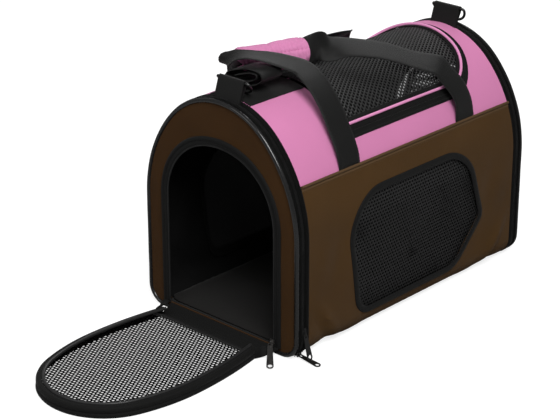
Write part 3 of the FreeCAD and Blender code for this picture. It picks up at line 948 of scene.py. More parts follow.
def beads(name: str, line: Line, kind: BeadKind, pitch: float, material: bpy.types.Material,
          seed: int = 1) -> bpy.types.Mesh:
    """A row of stitches or zip teeth along a line.

    Args:
        name: name of the mesh.
        line: what the row follows.
        kind: what is set in the row.
        pitch: spacing along the line.
        material: finish of the beads.
        seed: seed of their small differences.

    Returns:
        The row as one mesh.
    """
    rows = [np.vstack([a, a[:1]]) if line.closed else a for a in (line.points, line.ahead, line.facing)]
    run = run_along(rows[0])
    count = max(2, int(run[-1] / pitch))
    at = (np.arange(count) + 0.5) * run[-1] / count
    points, ahead, facing = (np.stack([np.interp(at, run, a[:, k]) for k in range(3)], 1) for a in rows)
    tree = Tree(name + "_row", {"Length": kind.value[0], "Width": kind.value[1], "Height": kind.value[2]},
                seed)
    ball = tree.add("GeometryNodeMeshUVSphere", {}, {"Segments": 6, "Rings": 4, "Radius": 0.5})
    along = tree.add("GeometryNodeInputNamedAttribute", {"data_type": "FLOAT_VECTOR"}, {"Name": "ahead"})
    outward = tree.add("GeometryNodeInputNamedAttribute", {"data_type": "FLOAT_VECTOR"}, {"Name": "facing"})
    turn = tree.add("FunctionNodeAlignRotationToVector", {"axis": "X"}, {"Vector": along})
    turn = tree.add("FunctionNodeAlignRotationToVector", {"axis": "Z", "pivot_axis": "X"},
                    {"Rotation": turn, "Vector": outward})
    vary = tree.add("FunctionNodeRandomValue", {"data_type": "FLOAT"},
                    {2: 0.88, 3: 1.08, "Seed": tree.given("Seed")})
    scale = tree.add("ShaderNodeCombineXYZ", {}, {
        0: tree.given("Length") * vary, 1: tree.given("Width"), 2: tree.given("Height")})
    row = tree.add("GeometryNodeInstanceOnPoints", {}, {
        "Points": tree.given("Geometry"), "Instance": ball, "Rotation": turn, "Scale": scale})
    tree.end(row)
    return tree.bake(name, points, {"ahead": ahead, "facing": facing}, material)


def net(name: str, surface: Surface, outline: Array, out: float, pitch: float, thread: float, thick: float,
        material: bpy.types.Material) -> bpy.types.Mesh:
    """Hexagonal netting cut to an outline on a surface.

    Args:
        name: name of the mesh.
        surface: what it lies on.
        outline: closed outline in flat coordinates, up to which the cells reach.
        out: height of the netting's middle.
        pitch: spacing of its holes.
        thread: width of the thread between two holes.
        thick: thickness of the thread.
        material: finish of the thread.

    Returns:
        The netting as one mesh.
    """
    low, high = outline.min(0), outline.max(0)
    cells = []
    for row, v in enumerate(np.arange(low[1], high[1], pitch * ROW_RATIO)):
        across = np.arange(low[0] + (row % 2) * pitch / 2, high[0], pitch)
        cells.append(np.stack([across, np.full_like(across, v)], 1))
    cells = np.vstack(cells)
    cells = cells[inside(cells, moved_in(outline, pitch * 0.6))]
    tree = Tree(name + "_cells", {"Pitch": pitch, "Thread": thread, "Thickness": thick})
    radius = tree.add("ShaderNodeMath", {"operation": "DIVIDE"}, {0: tree.given("Pitch"), 1: math.sqrt(3)})
    hexagon = tree.add("GeometryNodeCurvePrimitiveCircle", {}, {"Resolution": 6, "Radius": radius})
    strand = tree.add("GeometryNodeCurvePrimitiveQuadrilateral", {},
                      {"Width": tree.given("Thread"), "Height": tree.given("Thickness")})
    cell = tree.add("GeometryNodeCurveToMesh", {}, {"Curve": hexagon, "Profile Curve": strand})
    grid = tree.add("GeometryNodeInstanceOnPoints", {}, {
        "Points": tree.given("Geometry"), "Instance": cell, "Rotation": (0, 0, math.pi / 6)})
    tree.end(grid)
    mesh = tree.bake(name, np.hstack([cells, np.zeros((len(cells), 1))]), {}, material)
    flat = corners_of(mesh)
    mesh.vertices.foreach_set("co", surface.place(flat[:, :2], out + flat[:, 2]).ravel())
    turn_outwards(mesh)
    mesh.update()
    return mesh


# ---- finishes -------------------------------------------------------------------------------
def shades(colour: tuple[float, float, float], factor: float) -> tuple[float, float, float, float]:
    """A colour made lighter or darker, with alpha."""
    return (*(min(1.0, c * factor) for c in colour), 1.0)


class Paint:
    """A material that is being built."""

    def __init__(self, name: str, place: Callable[[Graph], Wire] | None = None) -> None:
        """Start a material.

        Args:
            name: name of the material.
            place: gives the position that patterns follow; the piece's own place in space if it is left out.
        """
        self.material = bpy.data.materials.new(name)
        self.material.use_nodes = True
        self.graph = Graph(self.material.node_tree)
        self.where = place(self.graph) if place else self.graph.add("ShaderNodeTexCoord", {}, {}, "Object")

    def noise(self, scale: float, detail: float) -> Wire:
        """Noise with so many waves to a metre."""
        return self.graph.add("ShaderNodeTexNoise", {},
                              {"Vector": self.where, "Scale": scale, "Detail": detail})

    def mixed(self, factor: Wire, low: tuple[float, ...], high: tuple[float, ...]) -> Wire:
        """A mixture of two colours with alpha."""
        return self.graph.add("ShaderNodeMix", {"data_type": "RGBA"}, {0: factor, 6: low, 7: high})

    def between(self, factor: Wire, colour: tuple[float, float, float], dark: float, light: float) -> Wire:
        """A colour that wanders between a darker and a lighter shade of itself."""
        return self.mixed(factor, shades(colour, dark), shades(colour, light))

    def bump(self, strength: float, distance: float, height: Wire) -> Wire:
        """Normals of a fine relief."""
        return self.graph.add("ShaderNodeBump", {},
                              {"Strength": strength, "Distance": distance, "Height": height})

    def done(self, sockets: dict) -> bpy.types.Material:
        """Finish the material.

        Args:
            sockets: value or wire for each socket of its surface.

        Returns:
            The material.
        """
        shader = self.graph.add("ShaderNodeBsdfPrincipled", {}, sockets)
        self.graph.add("ShaderNodeOutputMaterial", {}, {0: shader})
        return self.material


@dataclass(frozen=True)
class Cloth:
    """Woven cloth: crossed yarns, a soft mottling and a little fuzz."""

    name: str
    colour: tuple[float, float, float]
    yarn: float = 0.0006
    rough: float = 0.85
    relief: float = 0.35
    mottle: float = 0.10
    sheen: float = 0.04
    spec: float = 0.12

    def place(self, graph: Graph) -> Wire:
        """Position on the cloth in metres."""
        raw = graph.add("ShaderNodeUVMap", {"uv_map": "cloth"})
        return graph.add("ShaderNodeVectorMath", {"operation": "SCALE"}, {0: raw, "Scale": 0.1})

    def yarns(self, across: Wire, along: Wire, turn: float) -> Wire:
        """Height of the yarns, from -1 to 1, where they repeat once in every full turn."""
        return (across * turn).sine() * (along * turn).sine()

    def make(self) -> bpy.types.Material:
        """Build the material.

        Returns:
            The material.
        """
        paint = Paint(self.name, self.place)
        split = paint.graph.add("ShaderNodeSeparateXYZ", {}, {0: paint.where})
        yarns = self.yarns(split, Wire(paint.graph, split.socket.node.outputs[1]), 2 * math.pi / self.yarn)
        soft, fine = paint.noise(14.0, 3.0), paint.noise(900.0, 2.0)
        colour = paint.between(soft * 0.6 + fine * 0.4 + yarns * 0.10, self.colour, 1 - 2 * self.mottle,
                               1 + 2 * self.mottle)
        bump = paint.bump(self.relief, 0.0003, yarns * 0.5 + fine * 0.6)
        return paint.done({
            "Base Color": colour, "Roughness": self.rough - 0.1 + fine * 0.2, "Normal": bump,
            "Sheen Weight": self.sheen, "Sheen Roughness": 0.4, "Specular IOR Level": self.spec})


@dataclass(frozen=True)
class Ribbed(Cloth):
    """Webbing, tape or twill, whose ribs run slanting across it."""

    slant: float = 0.5

    def yarns(self, across: Wire, along: Wire, turn: float) -> Wire:
        """Height of the ribs, about from -1 to 1."""
        return ((across * self.slant + along) * turn).sine() * 0.8 + (across * (1.7 * turn)).sine() * 0.4


@dataclass(frozen=True)
class Moulded:
    """Smooth plastic cord or thread with faint scuffs."""

    name: str
    colour: tuple[float, float, float]
    rough: float = 0.35
    coat: float = 0.0
    spec: float = 0.25
    alpha: float = 1.0

    def make(self) -> bpy.types.Material:
        """Build the material.

        Returns:
            The material.
        """
        paint = Paint(self.name)
        scuff, slow = paint.noise(220.0, 4.0), paint.noise(30.0, 2.0)
        return paint.done({
            "Base Color": paint.between(scuff, self.colour, 0.8, 1.25),
            "Roughness": self.rough - 0.06 + scuff * 0.14,
            "Normal": paint.bump(0.15, 0.0004, scuff * 0.5 + slow),
            "Coat Weight": self.coat, "Coat Roughness": 0.12, "Specular IOR Level": self.spec,
            "Alpha": self.alpha})


@dataclass(frozen=True)
class Metal:
    """Cast or drawn metal with fine wear."""

    name: str
    colour: tuple[float, float, float]
    rough: float = 0.3
    metallic: float = 1.0

    def make(self) -> bpy.types.Material:
        """Build the material.

        Returns:
            The material.
        """
        paint = Paint(self.name)
        grain, wear = paint.noise(900.0, 4.0), paint.noise(160.0, 3.0)
        return paint.done({
            "Base Color": paint.between(wear, self.colour, 0.75, 1.2), "Metallic": self.metallic,
            "Normal": paint.bump(0.1, 0.0002, grain), "Roughness": self.rough - 0.08 + wear * 0.18})


class Finishes:
    """Every finish of the bag, made once."""

    def __init__(self) -> None:
        """Make the materials."""
        black = (0.0060, 0.0060, 0.0058)
        self.brown = Cloth("brown_cloth", (0.064, 0.0325, 0.0105), relief=0.6, spec=0.04, mottle=0.15).make()
        # The end panels' brown is a darker copy of the side brown; the extra darkness is painted shade, as
        # the ends face away from the key light.
        self.brown_end = Cloth("brown_end_cloth", (0.043, 0.0195, 0.0060), relief=0.6, spec=0.04,
                               mottle=0.16).make()
        self.pink = Cloth("pink_cloth", (0.585, 0.205, 0.39), sheen=0.05, mottle=0.04).make()
        self.lining = Cloth("black_lining", (0.005, 0.005, 0.005), rough=0.95, sheen=0.0, spec=0.05).make()
        self.mat = Cloth("mat_cloth", (0.0120, 0.0115, 0.0110), yarn=0.0009).make()
        self.tape = Ribbed("black_tape", black, yarn=0.0009, relief=0.5, slant=0.2, rough=0.7,
                           spec=0.10).make()
        self.twill = Ribbed("black_twill", (0.0080, 0.0080, 0.0077), yarn=0.0014, relief=0.6, slant=1.0,
                            spec=0.14).make()
        self.webbing = Ribbed("black_webbing", (0.0054, 0.0054, 0.0052), yarn=0.0014, relief=0.6, slant=0.55,
                              rough=0.5, spec=0.19, mottle=0.15).make()
        self.net = Moulded("black_netting", (0.012, 0.012, 0.012), rough=0.5, spec=0.25).make()
        self.roof_net = Moulded("roof_netting", (0.0125, 0.0125, 0.0125), rough=0.5, spec=0.25).make()
        self.gauze = Moulded("black_gauze", (0.006, 0.006, 0.006), rough=0.9, spec=0.05, alpha=0.93).make()
        self.roof_gauze = Moulded("roof_gauze", (0.006, 0.006, 0.006), rough=0.9, spec=0.05,
                                  alpha=0.45).make()
        self.coil = Moulded("zip_coil", (0.008, 0.008, 0.008), rough=0.42).make()
        self.black_cord = Moulded("gloss_cord", (0.008, 0.008, 0.008), rough=0.25, coat=0.35).make()
        self.door_cord = Moulded("door_cord", (0.016, 0.016, 0.016), rough=0.45, coat=0.1).make()
        self.brown_cord = Cloth("brown_cord", (0.085, 0.048, 0.021), relief=0.5).make()
        self.pink_cord = Cloth("pink_cord", (0.68, 0.26, 0.48), relief=0.3, rough=0.6, spec=0.2).make()
        self.padding = Cloth("pink_padding", (0.57, 0.205, 0.385), sheen=0.08, mottle=0.05).make()
        self.black_thread = Moulded("black_thread", (0.016, 0.016, 0.016), rough=0.7, spec=0.15).make()
        self.brown_thread = Moulded("brown_thread", (0.085, 0.05, 0.024), rough=0.7, spec=0.15).make()
        self.pink_thread = Moulded("pink_thread", (0.45, 0.14, 0.28), rough=0.7, spec=0.15).make()
        self.black_metal = Metal("black_metal", (0.02, 0.02, 0.02), rough=0.38, metallic=0.6).make()
        self.grey_metal = Metal("grey_metal", (0.30, 0.29, 0.28), rough=0.34).make()
        self.ring_metal = Metal("ring_metal", (0.055, 0.055, 0.055), rough=0.4).make()
        self.wire = Metal("spring_wire", (0.5, 0.5, 0.5), rough=0.3).make()
        self.board = Moulded("board_black", (0.02, 0.02, 0.02), rough=0.6).make()


# ---- pieces ---------------------------------------------------------------------------------
@dataclass
class Assembly:
    """A sub-assembly of the bag, with the finishes that it is made in."""

    finishes: Finishes

    def piece(self, mesh: bpy.types.Mesh, materials: Sequence[bpy.types.Material], body: str | tuple,
              slot: str, replaces: Sequence[str] = ()) -> bpy.types.Object:
        """Put a mesh into the scene as a piece of the bag.

        Args:
            mesh: its shape, in place.
            materials: its material slots; none where the mesh has them.
            body: the body that it rides on, or (body, body, start, end) for cloth that bends between two.
            slot: not used.
            replaces: parts of the frame that it stands for.

        Returns:
            The piece.
        """
        thing = into_scene(mesh.name, mesh)
        for material in materials:
            mesh.materials.append(material)
        if isinstance(body, tuple):
            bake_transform(thing, body[0], body[1], start=body[2], end=body[3])
        else:
            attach(thing, body)
        if replaces:
            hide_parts(*replaces)
        LOG.info("%s: %d faces, on %s", mesh.name, len(mesh.polygons),
                 body if isinstance(body, str) else body[:2])
        return thing

    def row(self, name: str, line: Line, kind: BeadKind, pitch: float, material: bpy.types.Material,
            body: str | tuple, slot: str, replaces: Sequence[str] = (), seed: int = 1) -> None:
        """Put a row of stitches or teeth into the scene.

        Args:
            name: name of the row.
            line: what it follows.
            kind: what is set in it.
            pitch: spacing along the line.
            material: its finish.
            body: what it rides on, as for piece.
            slot: name of its material, passed on to piece.
            replaces: parts of the frame that it stands for.
            seed: seed of the small differences between its beads.
        """
        self.piece(beads(name, line, kind, pitch, material, seed), [], body, slot, replaces)


@dataclass
class Shell(Assembly):
    """Fabric of the body between the two end zips, with the seams along its sides."""

    cloth: float = 0.0028
    seam_r: float = 0.0018
    stitch_drop: float = 0.0065
    loop_step: float = 0.005
    mat_corner: float = 0.014
    channel: float = 0.106
    pillow: float = 0.0055

    def rectangle(self, s0: float, s1: float, y: float) -> Array:
        """Outline of a panel.

        Args:
            s0: its first edge, as a distance from the top of the dome.
            s1: its second edge.
            y: half of its length along the bag.

        Returns:
            Points round it.
        """
        counts = [max(2, int(length / self.loop_step)) for length in (abs(s1 - s0), 2 * y)] * 2
        return straight_sides([(s0, -y), (s1, -y), (s1, y), (s0, y)], counts)

    def roof(self) -> None:
        """Pink upper fabric with the hatch opening."""
        outline = self.rectangle(-SEAM_S, SEAM_S, SHELL_Y)
        hole = SKIN.from_plan(hatch_outline(0.0, HATCH_FRONT))
        mesh = patch("upper_fabric", SKIN, outline, [spaced(hole, self.loop_step, True)], 0.008, 0.0,
                     self.cloth, self.roof_relief)
        self.piece(mesh, [self.finishes.pink, self.finishes.lining], BAG, "pink_fabric", ["upper_shell"])

    def roof_relief(self, uv: Array) -> Array:
        """Pull lines between the strap ends and the hatch.

        Args:
            uv: (s, y) of the points.

        Returns:
            Extra height at each of them.
        """
        s, y = uv[:, 0], uv[:, 1]
        fade = np.clip((SHELL_Y - np.abs(y)) / 0.03, 0, 1)
        pull = np.exp(-((np.abs(y) - 0.116) / 0.03) ** 2) * np.exp(-((np.abs(s) - 0.17) / 0.05) ** 2)
        return -0.0010 * fade * pull

    def sides(self) -> None:
        """Brown side panels with the window cut-outs, down to the bottom."""
        for side, sign in SIDES:
            outline = self.rectangle(sign * SEAM_S, sign * SKIN.ends[3], SHELL_Y)
            hole = SKIN.from_side(moved_in(rounded(WINDOW), BINDING_W / 2), sign)
            mesh = patch("side_fabric_" + side, SKIN, outline, [spaced(hole, self.loop_step, True)], 0.008,
                         0.0, self.cloth, self.side_relief)
            self.piece(mesh, [self.finishes.brown, self.finishes.lining], BAG, "brown_fabric",
                       ["side_panel_" + side])
            self.top_stitch(side, sign)

    def side_relief(self, uv: Array) -> Array:
        """Slack folds near the bottom corners of the side panels and pull lines above the windows.

        Args:
            uv: (s, y) of the points.

        Returns:
            Extra height at each of them.
        """
        s, y = np.abs(uv[:, 0]), uv[:, 1]
        off, down = np.abs(y), s - SKIN.ends[2]  # distance from the bag's middle, and past the side's foot
        fade = np.clip((SHELL_Y - off) / 0.03, 0, 1)
        low = np.exp(-(down / 0.05) ** 2)
        fold = np.sin(70 * down + 46 * off + 1.2) + 0.5 * np.sin(38 * down - 64 * y + 0.4)
        slack = 0.0021 * low * fold * np.clip((off - 0.09) / 0.06, 0, 1)
        pull = 0.0011 * np.sin(105 * y + 30 * s) * np.exp(-((s - SKIN.ends[1] - 0.035) / 0.035) ** 2)
        crease = sum(height * np.exp(-((down + (off - start) * slope) / 0.010) ** 2)
                     * np.exp(-((off - start - 0.01) / 0.03) ** 2)
                     for height, start, slope in ((0.0040, 0.158, 1.1), (-0.0036, 0.176, 1.5)))
        crease *= np.clip((off - 0.138) / 0.02, 0, 1)
        return fade * (slack + crease + pull * np.clip((off - 0.10) / 0.05, 0, 1))

    def top_stitch(self, side: str, sign: float) -> None:
        """Stitch line just below the corded seam.

        Args:
            side: name of the side.
            sign: 1 for the near side, -1 for the far one.
        """
        along = np.linspace(-SHELL_Y + 0.002, SHELL_Y - 0.002, 90)
        uv = np.stack([np.full(90, sign * (SEAM_S + self.stitch_drop)), along], 1)
        self.row("seam_stitches_" + side, line_on(SKIN, uv, 0.0001, False), BeadKind.STITCH, LONG_STITCH,
                 self.finishes.brown_thread, BAG, "brown_fabric")

    def seams(self) -> None:
        """Covered cords along both colour seams, with the lip that they are sewn in by."""
        turn = np.linspace(math.radians(-35), math.radians(215), 11)
        profile = np.vstack([
            np.stack([self.seam_r * np.cos(turn), self.seam_r * (1 + np.sin(turn))], 1),
            [(-0.0052, 0.0006), (-0.0052, 0.0), (0.0015, 0.0)]])
        for side, sign in SIDES:
            uv = np.array([(sign * SEAM_S, y) for y in sign * np.linspace(-SHELL_Y, SHELL_Y, 120)])
            line = line_on(SKIN, uv, 0.0, False, 0.004)
            mesh = sweep("seam_cord_" + side, line, profile * (-1, 1), sharp=60)
            self.piece(mesh, [self.finishes.brown_cord], BAG, "brown_piping", ["seam_piping"])

    def bottom(self) -> None:
        """Brown bottom fabric."""
        half = BODY.half_w - CORNER_R
        mesh = patch("bottom_fabric", FloorPlane(), self.rectangle(-half, half, SHELL_Y), [], 0.016,
                     self.cloth, self.cloth)
        self.piece(mesh, [self.finishes.brown] * 2, BAG, "brown_fabric", ["bottom_panel"])

    def mat(self) -> None:
        """Padded mat with stitched channels."""
        low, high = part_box("floor_mat")
        half_x, half_y = (high.x - low.x) / 2, (high.y - low.y) / 2
        corners = [(x * half_x, y * half_y, self.mat_corner) for x, y in ((-1, -1), (1, -1), (1, 1), (-1, 1))]

        def relief(uv: Array) -> Array:
            """Pillows between the stitched lines, thin at the edge.

            Args:
                uv: (x, y) of the points.

            Returns:
                Extra height at each of them.
            """
            edge = np.minimum(half_x - np.abs(uv[:, 0]), half_y - np.abs(uv[:, 1]))
            rows = np.abs(np.sin(math.pi * uv[:, 1] / self.channel)) ** 0.5
            return -self.pillow + self.pillow * np.clip(edge / 0.012, 0, 1) ** 0.5 * (0.55 + 0.45 * rows)

        mesh = patch("padded_mat", FloorPlane(), rounded(corners), [], 0.007, high.z, 0.0, relief)
        low_z = low.z + 0.0002
        count = len(mesh.vertices) // 2
        for vertex in list(mesh.vertices)[count:]:
            vertex.co.z = low_z
        turn_outwards(mesh)
        mat = self.piece(mesh, [self.finishes.mat] * 2, BAG, "mat_fabric", ["floor_mat"])

    def build(self) -> None:
        """Make every piece of the shell."""
        self.roof()
        self.sides()
        self.seams()
        self.bottom()
        self.mat()


@dataclass(frozen=True)
class FloorPlane:
    """Level plane: (x, y), raised upwards."""

    def place(self, uv: Array, out: Array | float) -> Array:
        """Points above the level plane."""
        return np.stack([uv[:, 0], uv[:, 1], out + np.zeros(len(uv))], 1)

    def normals(self, uv: Array) -> Array:
        """Straight up."""
        return np.tile([0.0, 0.0, 1.0], (len(uv), 1))


def hatch_outline(outset: float, front: float) -> Array:
    """Closed outline of the hatch in plan, moved outwards, from its straight front edge back."""
    return closed_arch(HATCH.line(-outset, front, 0.005), 30)


@dataclass
class Windows(Assembly):
    """Mesh side windows with their binding."""

    pitch: float = 0.0052
    thread: float = 0.0025
    net_out: float = -0.0034
    gauze_out: float = -0.0046
    net_inset: float = 0.002
    gauze_past: float = 0.003
    stitch_inset: float = 0.0013

    def build(self) -> None:
        """Make both windows."""
        loop = rounded(WINDOW)
        for side, sign in SIDES:
            view = SideView(SKIN, sign)
            mesh = net("window_net_" + side, view, moved_in(loop, self.net_inset), self.net_out, self.pitch,
                       self.thread, THREAD_T, self.finishes.net)
            self.piece(mesh, [], BAG, "black_mesh", ["window_mesh_" + side])
            edge = spaced(moved_in(loop, -self.gauze_past), 0.008, True)
            mesh = patch("window_gauze_" + side, view, edge, [], 0.02, self.gauze_out, GAUZE_T)
            self.piece(mesh, [self.finishes.gauze] * 2, BAG, "black_mesh",
                       ["window_mesh_" + side])
            middle = line_on(view, moved_in(loop, BINDING_W / 2), 0.0, True)
            mesh = sweep("window_tape_" + side, middle, tape_section(BINDING_W, 0.0011, 0.0006))
            self.piece(mesh, [self.finishes.tape], BAG, "black_tape", ["window_binding_" + side])
            for k, inset in enumerate((self.stitch_inset, BINDING_W - self.stitch_inset)):
                self.row(f"window_stitches_{side}_{k}",
                         line_on(view, moved_in(loop, inset), 0.0012, True),
                         BeadKind.STITCH, SHORT_STITCH, self.finishes.black_thread, BAG, "black_tape")


@dataclass
class Roof(Assembly):
    """Zipped mesh hatch and the twill panel in front of it."""

    pitch: float = 0.0050
    thread: float = 0.0025
    sag: float = 0.0045
    front: float = HATCH_FRONT + 0.002
    teeth_pitch: float = 0.0015
    cord_r: float = 0.0019
    twill_w: float = 0.034
    twill_out: float = 0.0011
    stitch_inset: float = 0.0025
    tape_edges: tuple[float, float] = (0.0092, -0.0004)
    cord_inset: float = 0.0040
    cord_out: float = 0.0036

    def opening_zip(self) -> None:
        """Zip tape and teeth round the hatch opening."""
        plan = PlanView(SKIN)
        for name, outsets, out, thick in (("hatch_opening_tape", (0.0, 0.0070), 0.0002, 0.0009),
                                          ("hatch_opening_welt", (0.0046, 0.0068), 0.0008, 0.0012)):
            edges = tuple(HATCH.line(-outset, HATCH_FRONT) for outset in outsets)
            mesh = band(name, plan, edges, out, thick, 0.0003)
            self.piece(mesh, [self.finishes.tape], BAG, "black_zip", ["hatch_opening_zip"])
        teeth = line_on(plan, HATCH.line(-0.0017, HATCH_FRONT), 0.0016, False)
        self.row("hatch_teeth", teeth, BeadKind.TOOTH, self.teeth_pitch, self.finishes.coil, BAG, "black_zip",
                 ["hatch_opening_zip"])

    def hatch(self) -> None:
        """Mesh of the hatch with its tape and pink piping."""
        front, sagging = self.front, PlanView(SKIN, self.sag)
        loop = hatch_outline(-0.004, front + 0.003)
        mesh = net("hatch_net", sagging, loop, 0.0002, self.pitch, self.thread, THREAD_T,
                   self.finishes.roof_net)
        self.piece(mesh, [], "hatch", "black_mesh", ["hatch_mesh"])
        mesh = patch("hatch_gauze", sagging, spaced(moved_in(loop, 0.001), 0.008, True), [], 0.012, -0.0010,
                     GAUZE_T)
        self.piece(mesh, [self.finishes.roof_gauze] * 2, "hatch", "black_mesh",
                   ["hatch_mesh"])
        plan = PlanView(SKIN)
        edges = tuple(HATCH.line(inset, front) for inset in self.tape_edges)
        mesh = band("hatch_tape", plan, edges, 0.0006, 0.0011, 0.0003)
        self.piece(mesh, [self.finishes.tape], "hatch", "black_tape", ["hatch_zip_tape"])
        cord = line_on(plan, HATCH.line(self.cord_inset, front), self.cord_out, False)
        mesh = sweep("hatch_cord", cord, round_section(self.cord_r))
        self.piece(mesh, [self.finishes.pink_cord], "hatch", "pink_piping", ["hatch_piping"])

    def twill(self) -> None:
        """Twill panel from the front zip to the hatch, with its stitched edges."""
        y0, y1 = -SHELL_Y + 0.0004, HATCH_FRONT - 0.0015
        w = self.twill_w
        outline = straight_sides([(-w, y0), (w, y0), (w, y1), (-w, y1)], [18] * 4)
        mesh = patch("twill_panel", SKIN, outline, [], 0.006, self.twill_out, 0.0010)
        self.piece(mesh, [self.finishes.twill] * 2, BAG, "black_twill", ["top_front_panel"])
        for k, x in enumerate((-w + self.stitch_inset, w - self.stitch_inset)):
            uv = np.stack([np.full(30, x), np.linspace(y0 + 0.002, y1 - 0.002, 30)], 1)
            self.row(f"twill_stitches_{k}", line_on(SKIN, uv, 0.0012, False), BeadKind.STITCH, SHORT_STITCH,
                     self.finishes.black_thread, BAG, "black_twill")

    def hardware(self) -> None:
        """Finish of the hatch slider and its pull."""
        dress(("hatch_slider", "hatch_pull"), self.finishes.black_metal)

    def build(self) -> None:
        """Make the roof."""
        self.opening_zip()
        self.hatch()
        self.twill()
        self.hardware()


def dress(nodes: Sequence[str], material: bpy.types.Material) -> None:
    """Give parts of the frame a finish.

    Args:
        nodes: names of the parts.
        material: their finish.
    """
    for node in nodes:
        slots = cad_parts[node].data.materials
        slots.clear()
        slots.append(material)


@dataclass
class EndAssembly(Assembly):
    """A sub-assembly that the bag has at its front and at its rear."""

    rear: bool = False

    @property
    def name(self) -> str:
        """Name of this end."""
        return "rear" if self.rear else "front"


@dataclass
class End(EndAssembly):
    """One end of the bag: panel, piping, outer zip and the zip of the door opening.

    Distances along the bag are counted from its middle.
    """

    tapes: tuple[tuple[str, float, float, float], ...] = (  # name, distance along the bag, width, bulge
        ("outer", 0.2078, 0.0086, 0.0004), ("inner", 0.2188, 0.0056, 0.0002))
    tape_out: float = -0.0012
    tape_thick: float = 0.0014
    core_y: float = 0.2142
    core_w: float = 0.0090
    core_out: float = -0.0024
    teeth_y: tuple[float, float] = (0.2131, 0.2149)
    teeth_out: float = -0.0006
    stitch_y: float = 0.2052
    stitch_out: float = 0.0003
    piping_y: float = 0.2230
    opening_tapes: tuple[tuple[str, float, float, float], ...] = (  # name, distance inwards, width, bulge
        ("edge", 0.0022, 0.0060, 0.0012), ("inner", 0.0070, 0.0056, 0.0001))

    def ring(self, y: float, out: float) -> Line:
        """Loop round the body at a distance from the bag's middle.

        Args:
            y: distance from the middle of the bag.
            out: height above the skin.

        Returns:
            The loop, facing outwards.
        """
        s = SKIN.all_round(240)
        uv = np.stack([s, np.full_like(s, y if self.rear else -y)], 1)
        return line_on(SKIN, uv, out, True, 0.005)

    def outer_zip(self) -> None:
        """Two tapes and the coil of the zip that lets the end fold flat."""
        finishes, stands_for = self.finishes, [self.name + "_end_zip"]
        for part, y, width, crown in self.tapes:
            mesh = sweep(f"{self.name}_zip_tape_{part}", self.ring(y, self.tape_out),
                         tape_section(width, self.tape_thick, crown))
            self.piece(mesh, [finishes.tape], BAG, "black_zip", stands_for)
        core = sweep(self.name + "_zip_core", self.ring(self.core_y, self.core_out),
                     tape_section(self.core_w, 0.0016))
        self.piece(core, [finishes.coil], BAG, "black_zip", stands_for)
        for k, y in enumerate(self.teeth_y):
            self.row(f"{self.name}_zip_teeth_{k}", self.ring(y, self.teeth_out), BeadKind.TOOTH, TEETH,
                     finishes.coil, BAG, "black_zip", stands_for, seed=k)
        self.row(self.name + "_zip_stitches", self.ring(self.stitch_y, self.stitch_out), BeadKind.STITCH,
                 LONG_STITCH, finishes.black_thread, BAG, "black_zip")

    def piping(self) -> None:
        """Glossy covered hoop round the end."""
        line = self.ring(self.piping_y, -PIPING_R)
        s = np.arange(len(line.points)) / len(line.points) * 2 * math.pi
        swell = 1 + 0.03 * np.sin(17 * s) + 0.02 * np.sin(41 * s + 1)
        mesh = sweep(self.name + "_piping", line, round_section(PIPING_R * 0.97, 14),
                     np.stack([swell, swell], 1))
        self.piece(mesh, [self.finishes.black_cord], BAG, "black_piping_gloss", [self.name + "_end_piping"])
        dress([self.name + "_hoop_wire"], self.finishes.wire)

    def panel(self) -> None:
        """Brown end panel round the opening, with a slight pucker along its seams."""
        plane = EndPlane(PANEL_Y, self.rear)
        edge = np.stack(SKIN.section(SKIN.all_round(300))[:2], 1)
        outline = spaced(moved_in(edge, 0.0058), 0.006, True)
        hole = spaced(closed_arch(OPENING.line(OPEN_TAPE - 0.002, OPEN_Z), 40), 0.006, True)

        def pucker(uv: Array) -> Array:
            """Fullness between the piping and the opening.

            Args:
                uv: (x, z) of the points.

            Returns:
                Extra height at each of them.
            """
            edge_gap, hole_gap = gap_to(outline, uv), gap_to(hole, uv)
            full = np.clip(np.minimum(edge_gap, hole_gap) / 0.012, 0, 1)
            return 0.0012 * full * (0.7 + 0.3 * np.sin(80 * uv[:, 1] + 50 * uv[:, 0])) - 0.0006

        mesh = patch(self.name + "_end_fabric", plane, outline, [hole], 0.007, 0.0, 0.0018, pucker)
        # The end fabric takes the darker brown copy, whose extra darkness is painted shade.
        self.piece(mesh, [self.finishes.brown_end, self.finishes.lining], BAG, "brown_fabric_dark",
                   [self.name + "_end_panel"])

    def opening_zip(self) -> None:
        """Tape and teeth of the door's zip round the opening."""
        plane = EndPlane(PANEL_Y, self.rear)
        finishes, stands_for = self.finishes, [self.name + "_door_opening_zip"]
        for part, inset, width, crown in self.opening_tapes:
            line = line_on(plane, OPENING.line(inset, OPEN_Z), 0.0, False)
            mesh = sweep(f"{self.name}_opening_tape_{part}", line, tape_section(width, 0.0012, crown))
            self.piece(mesh, [finishes.tape], BAG, "black_zip", stands_for)
        line = line_on(plane, OPENING.line(OPEN_TAPE + 0.0010, OPEN_Z), -0.0004, False)
        mesh = sweep(self.name + "_opening_core", line, tape_section(0.0024, 0.0014))
        self.piece(mesh, [finishes.coil], BAG, "black_zip", stands_for)
        self.row(self.name + "_opening_teeth", line.moved(0.0, 0.0013), BeadKind.TOOTH, TEETH,
                 finishes.coil, BAG, "black_zip", stands_for)

    def hardware(self) -> None:
        """Finish of this end's sliders, pulls and ring."""
        end, finishes = self.name, self.finishes
        dress([end + k for k in ("_upper_slider", "_upper_pull", "_lower_slider", "_lower_pull")],
              finishes.black_metal)
        dress([end + "_door_slider", end + "_door_pull"], finishes.grey_metal)
        dress([end + "_d_ring"], finishes.ring_metal)

    def build(self) -> None:
        """Make the end."""
        self.outer_zip()
        self.piping()
        self.panel()
        self.opening_zip()
        self.hardware()


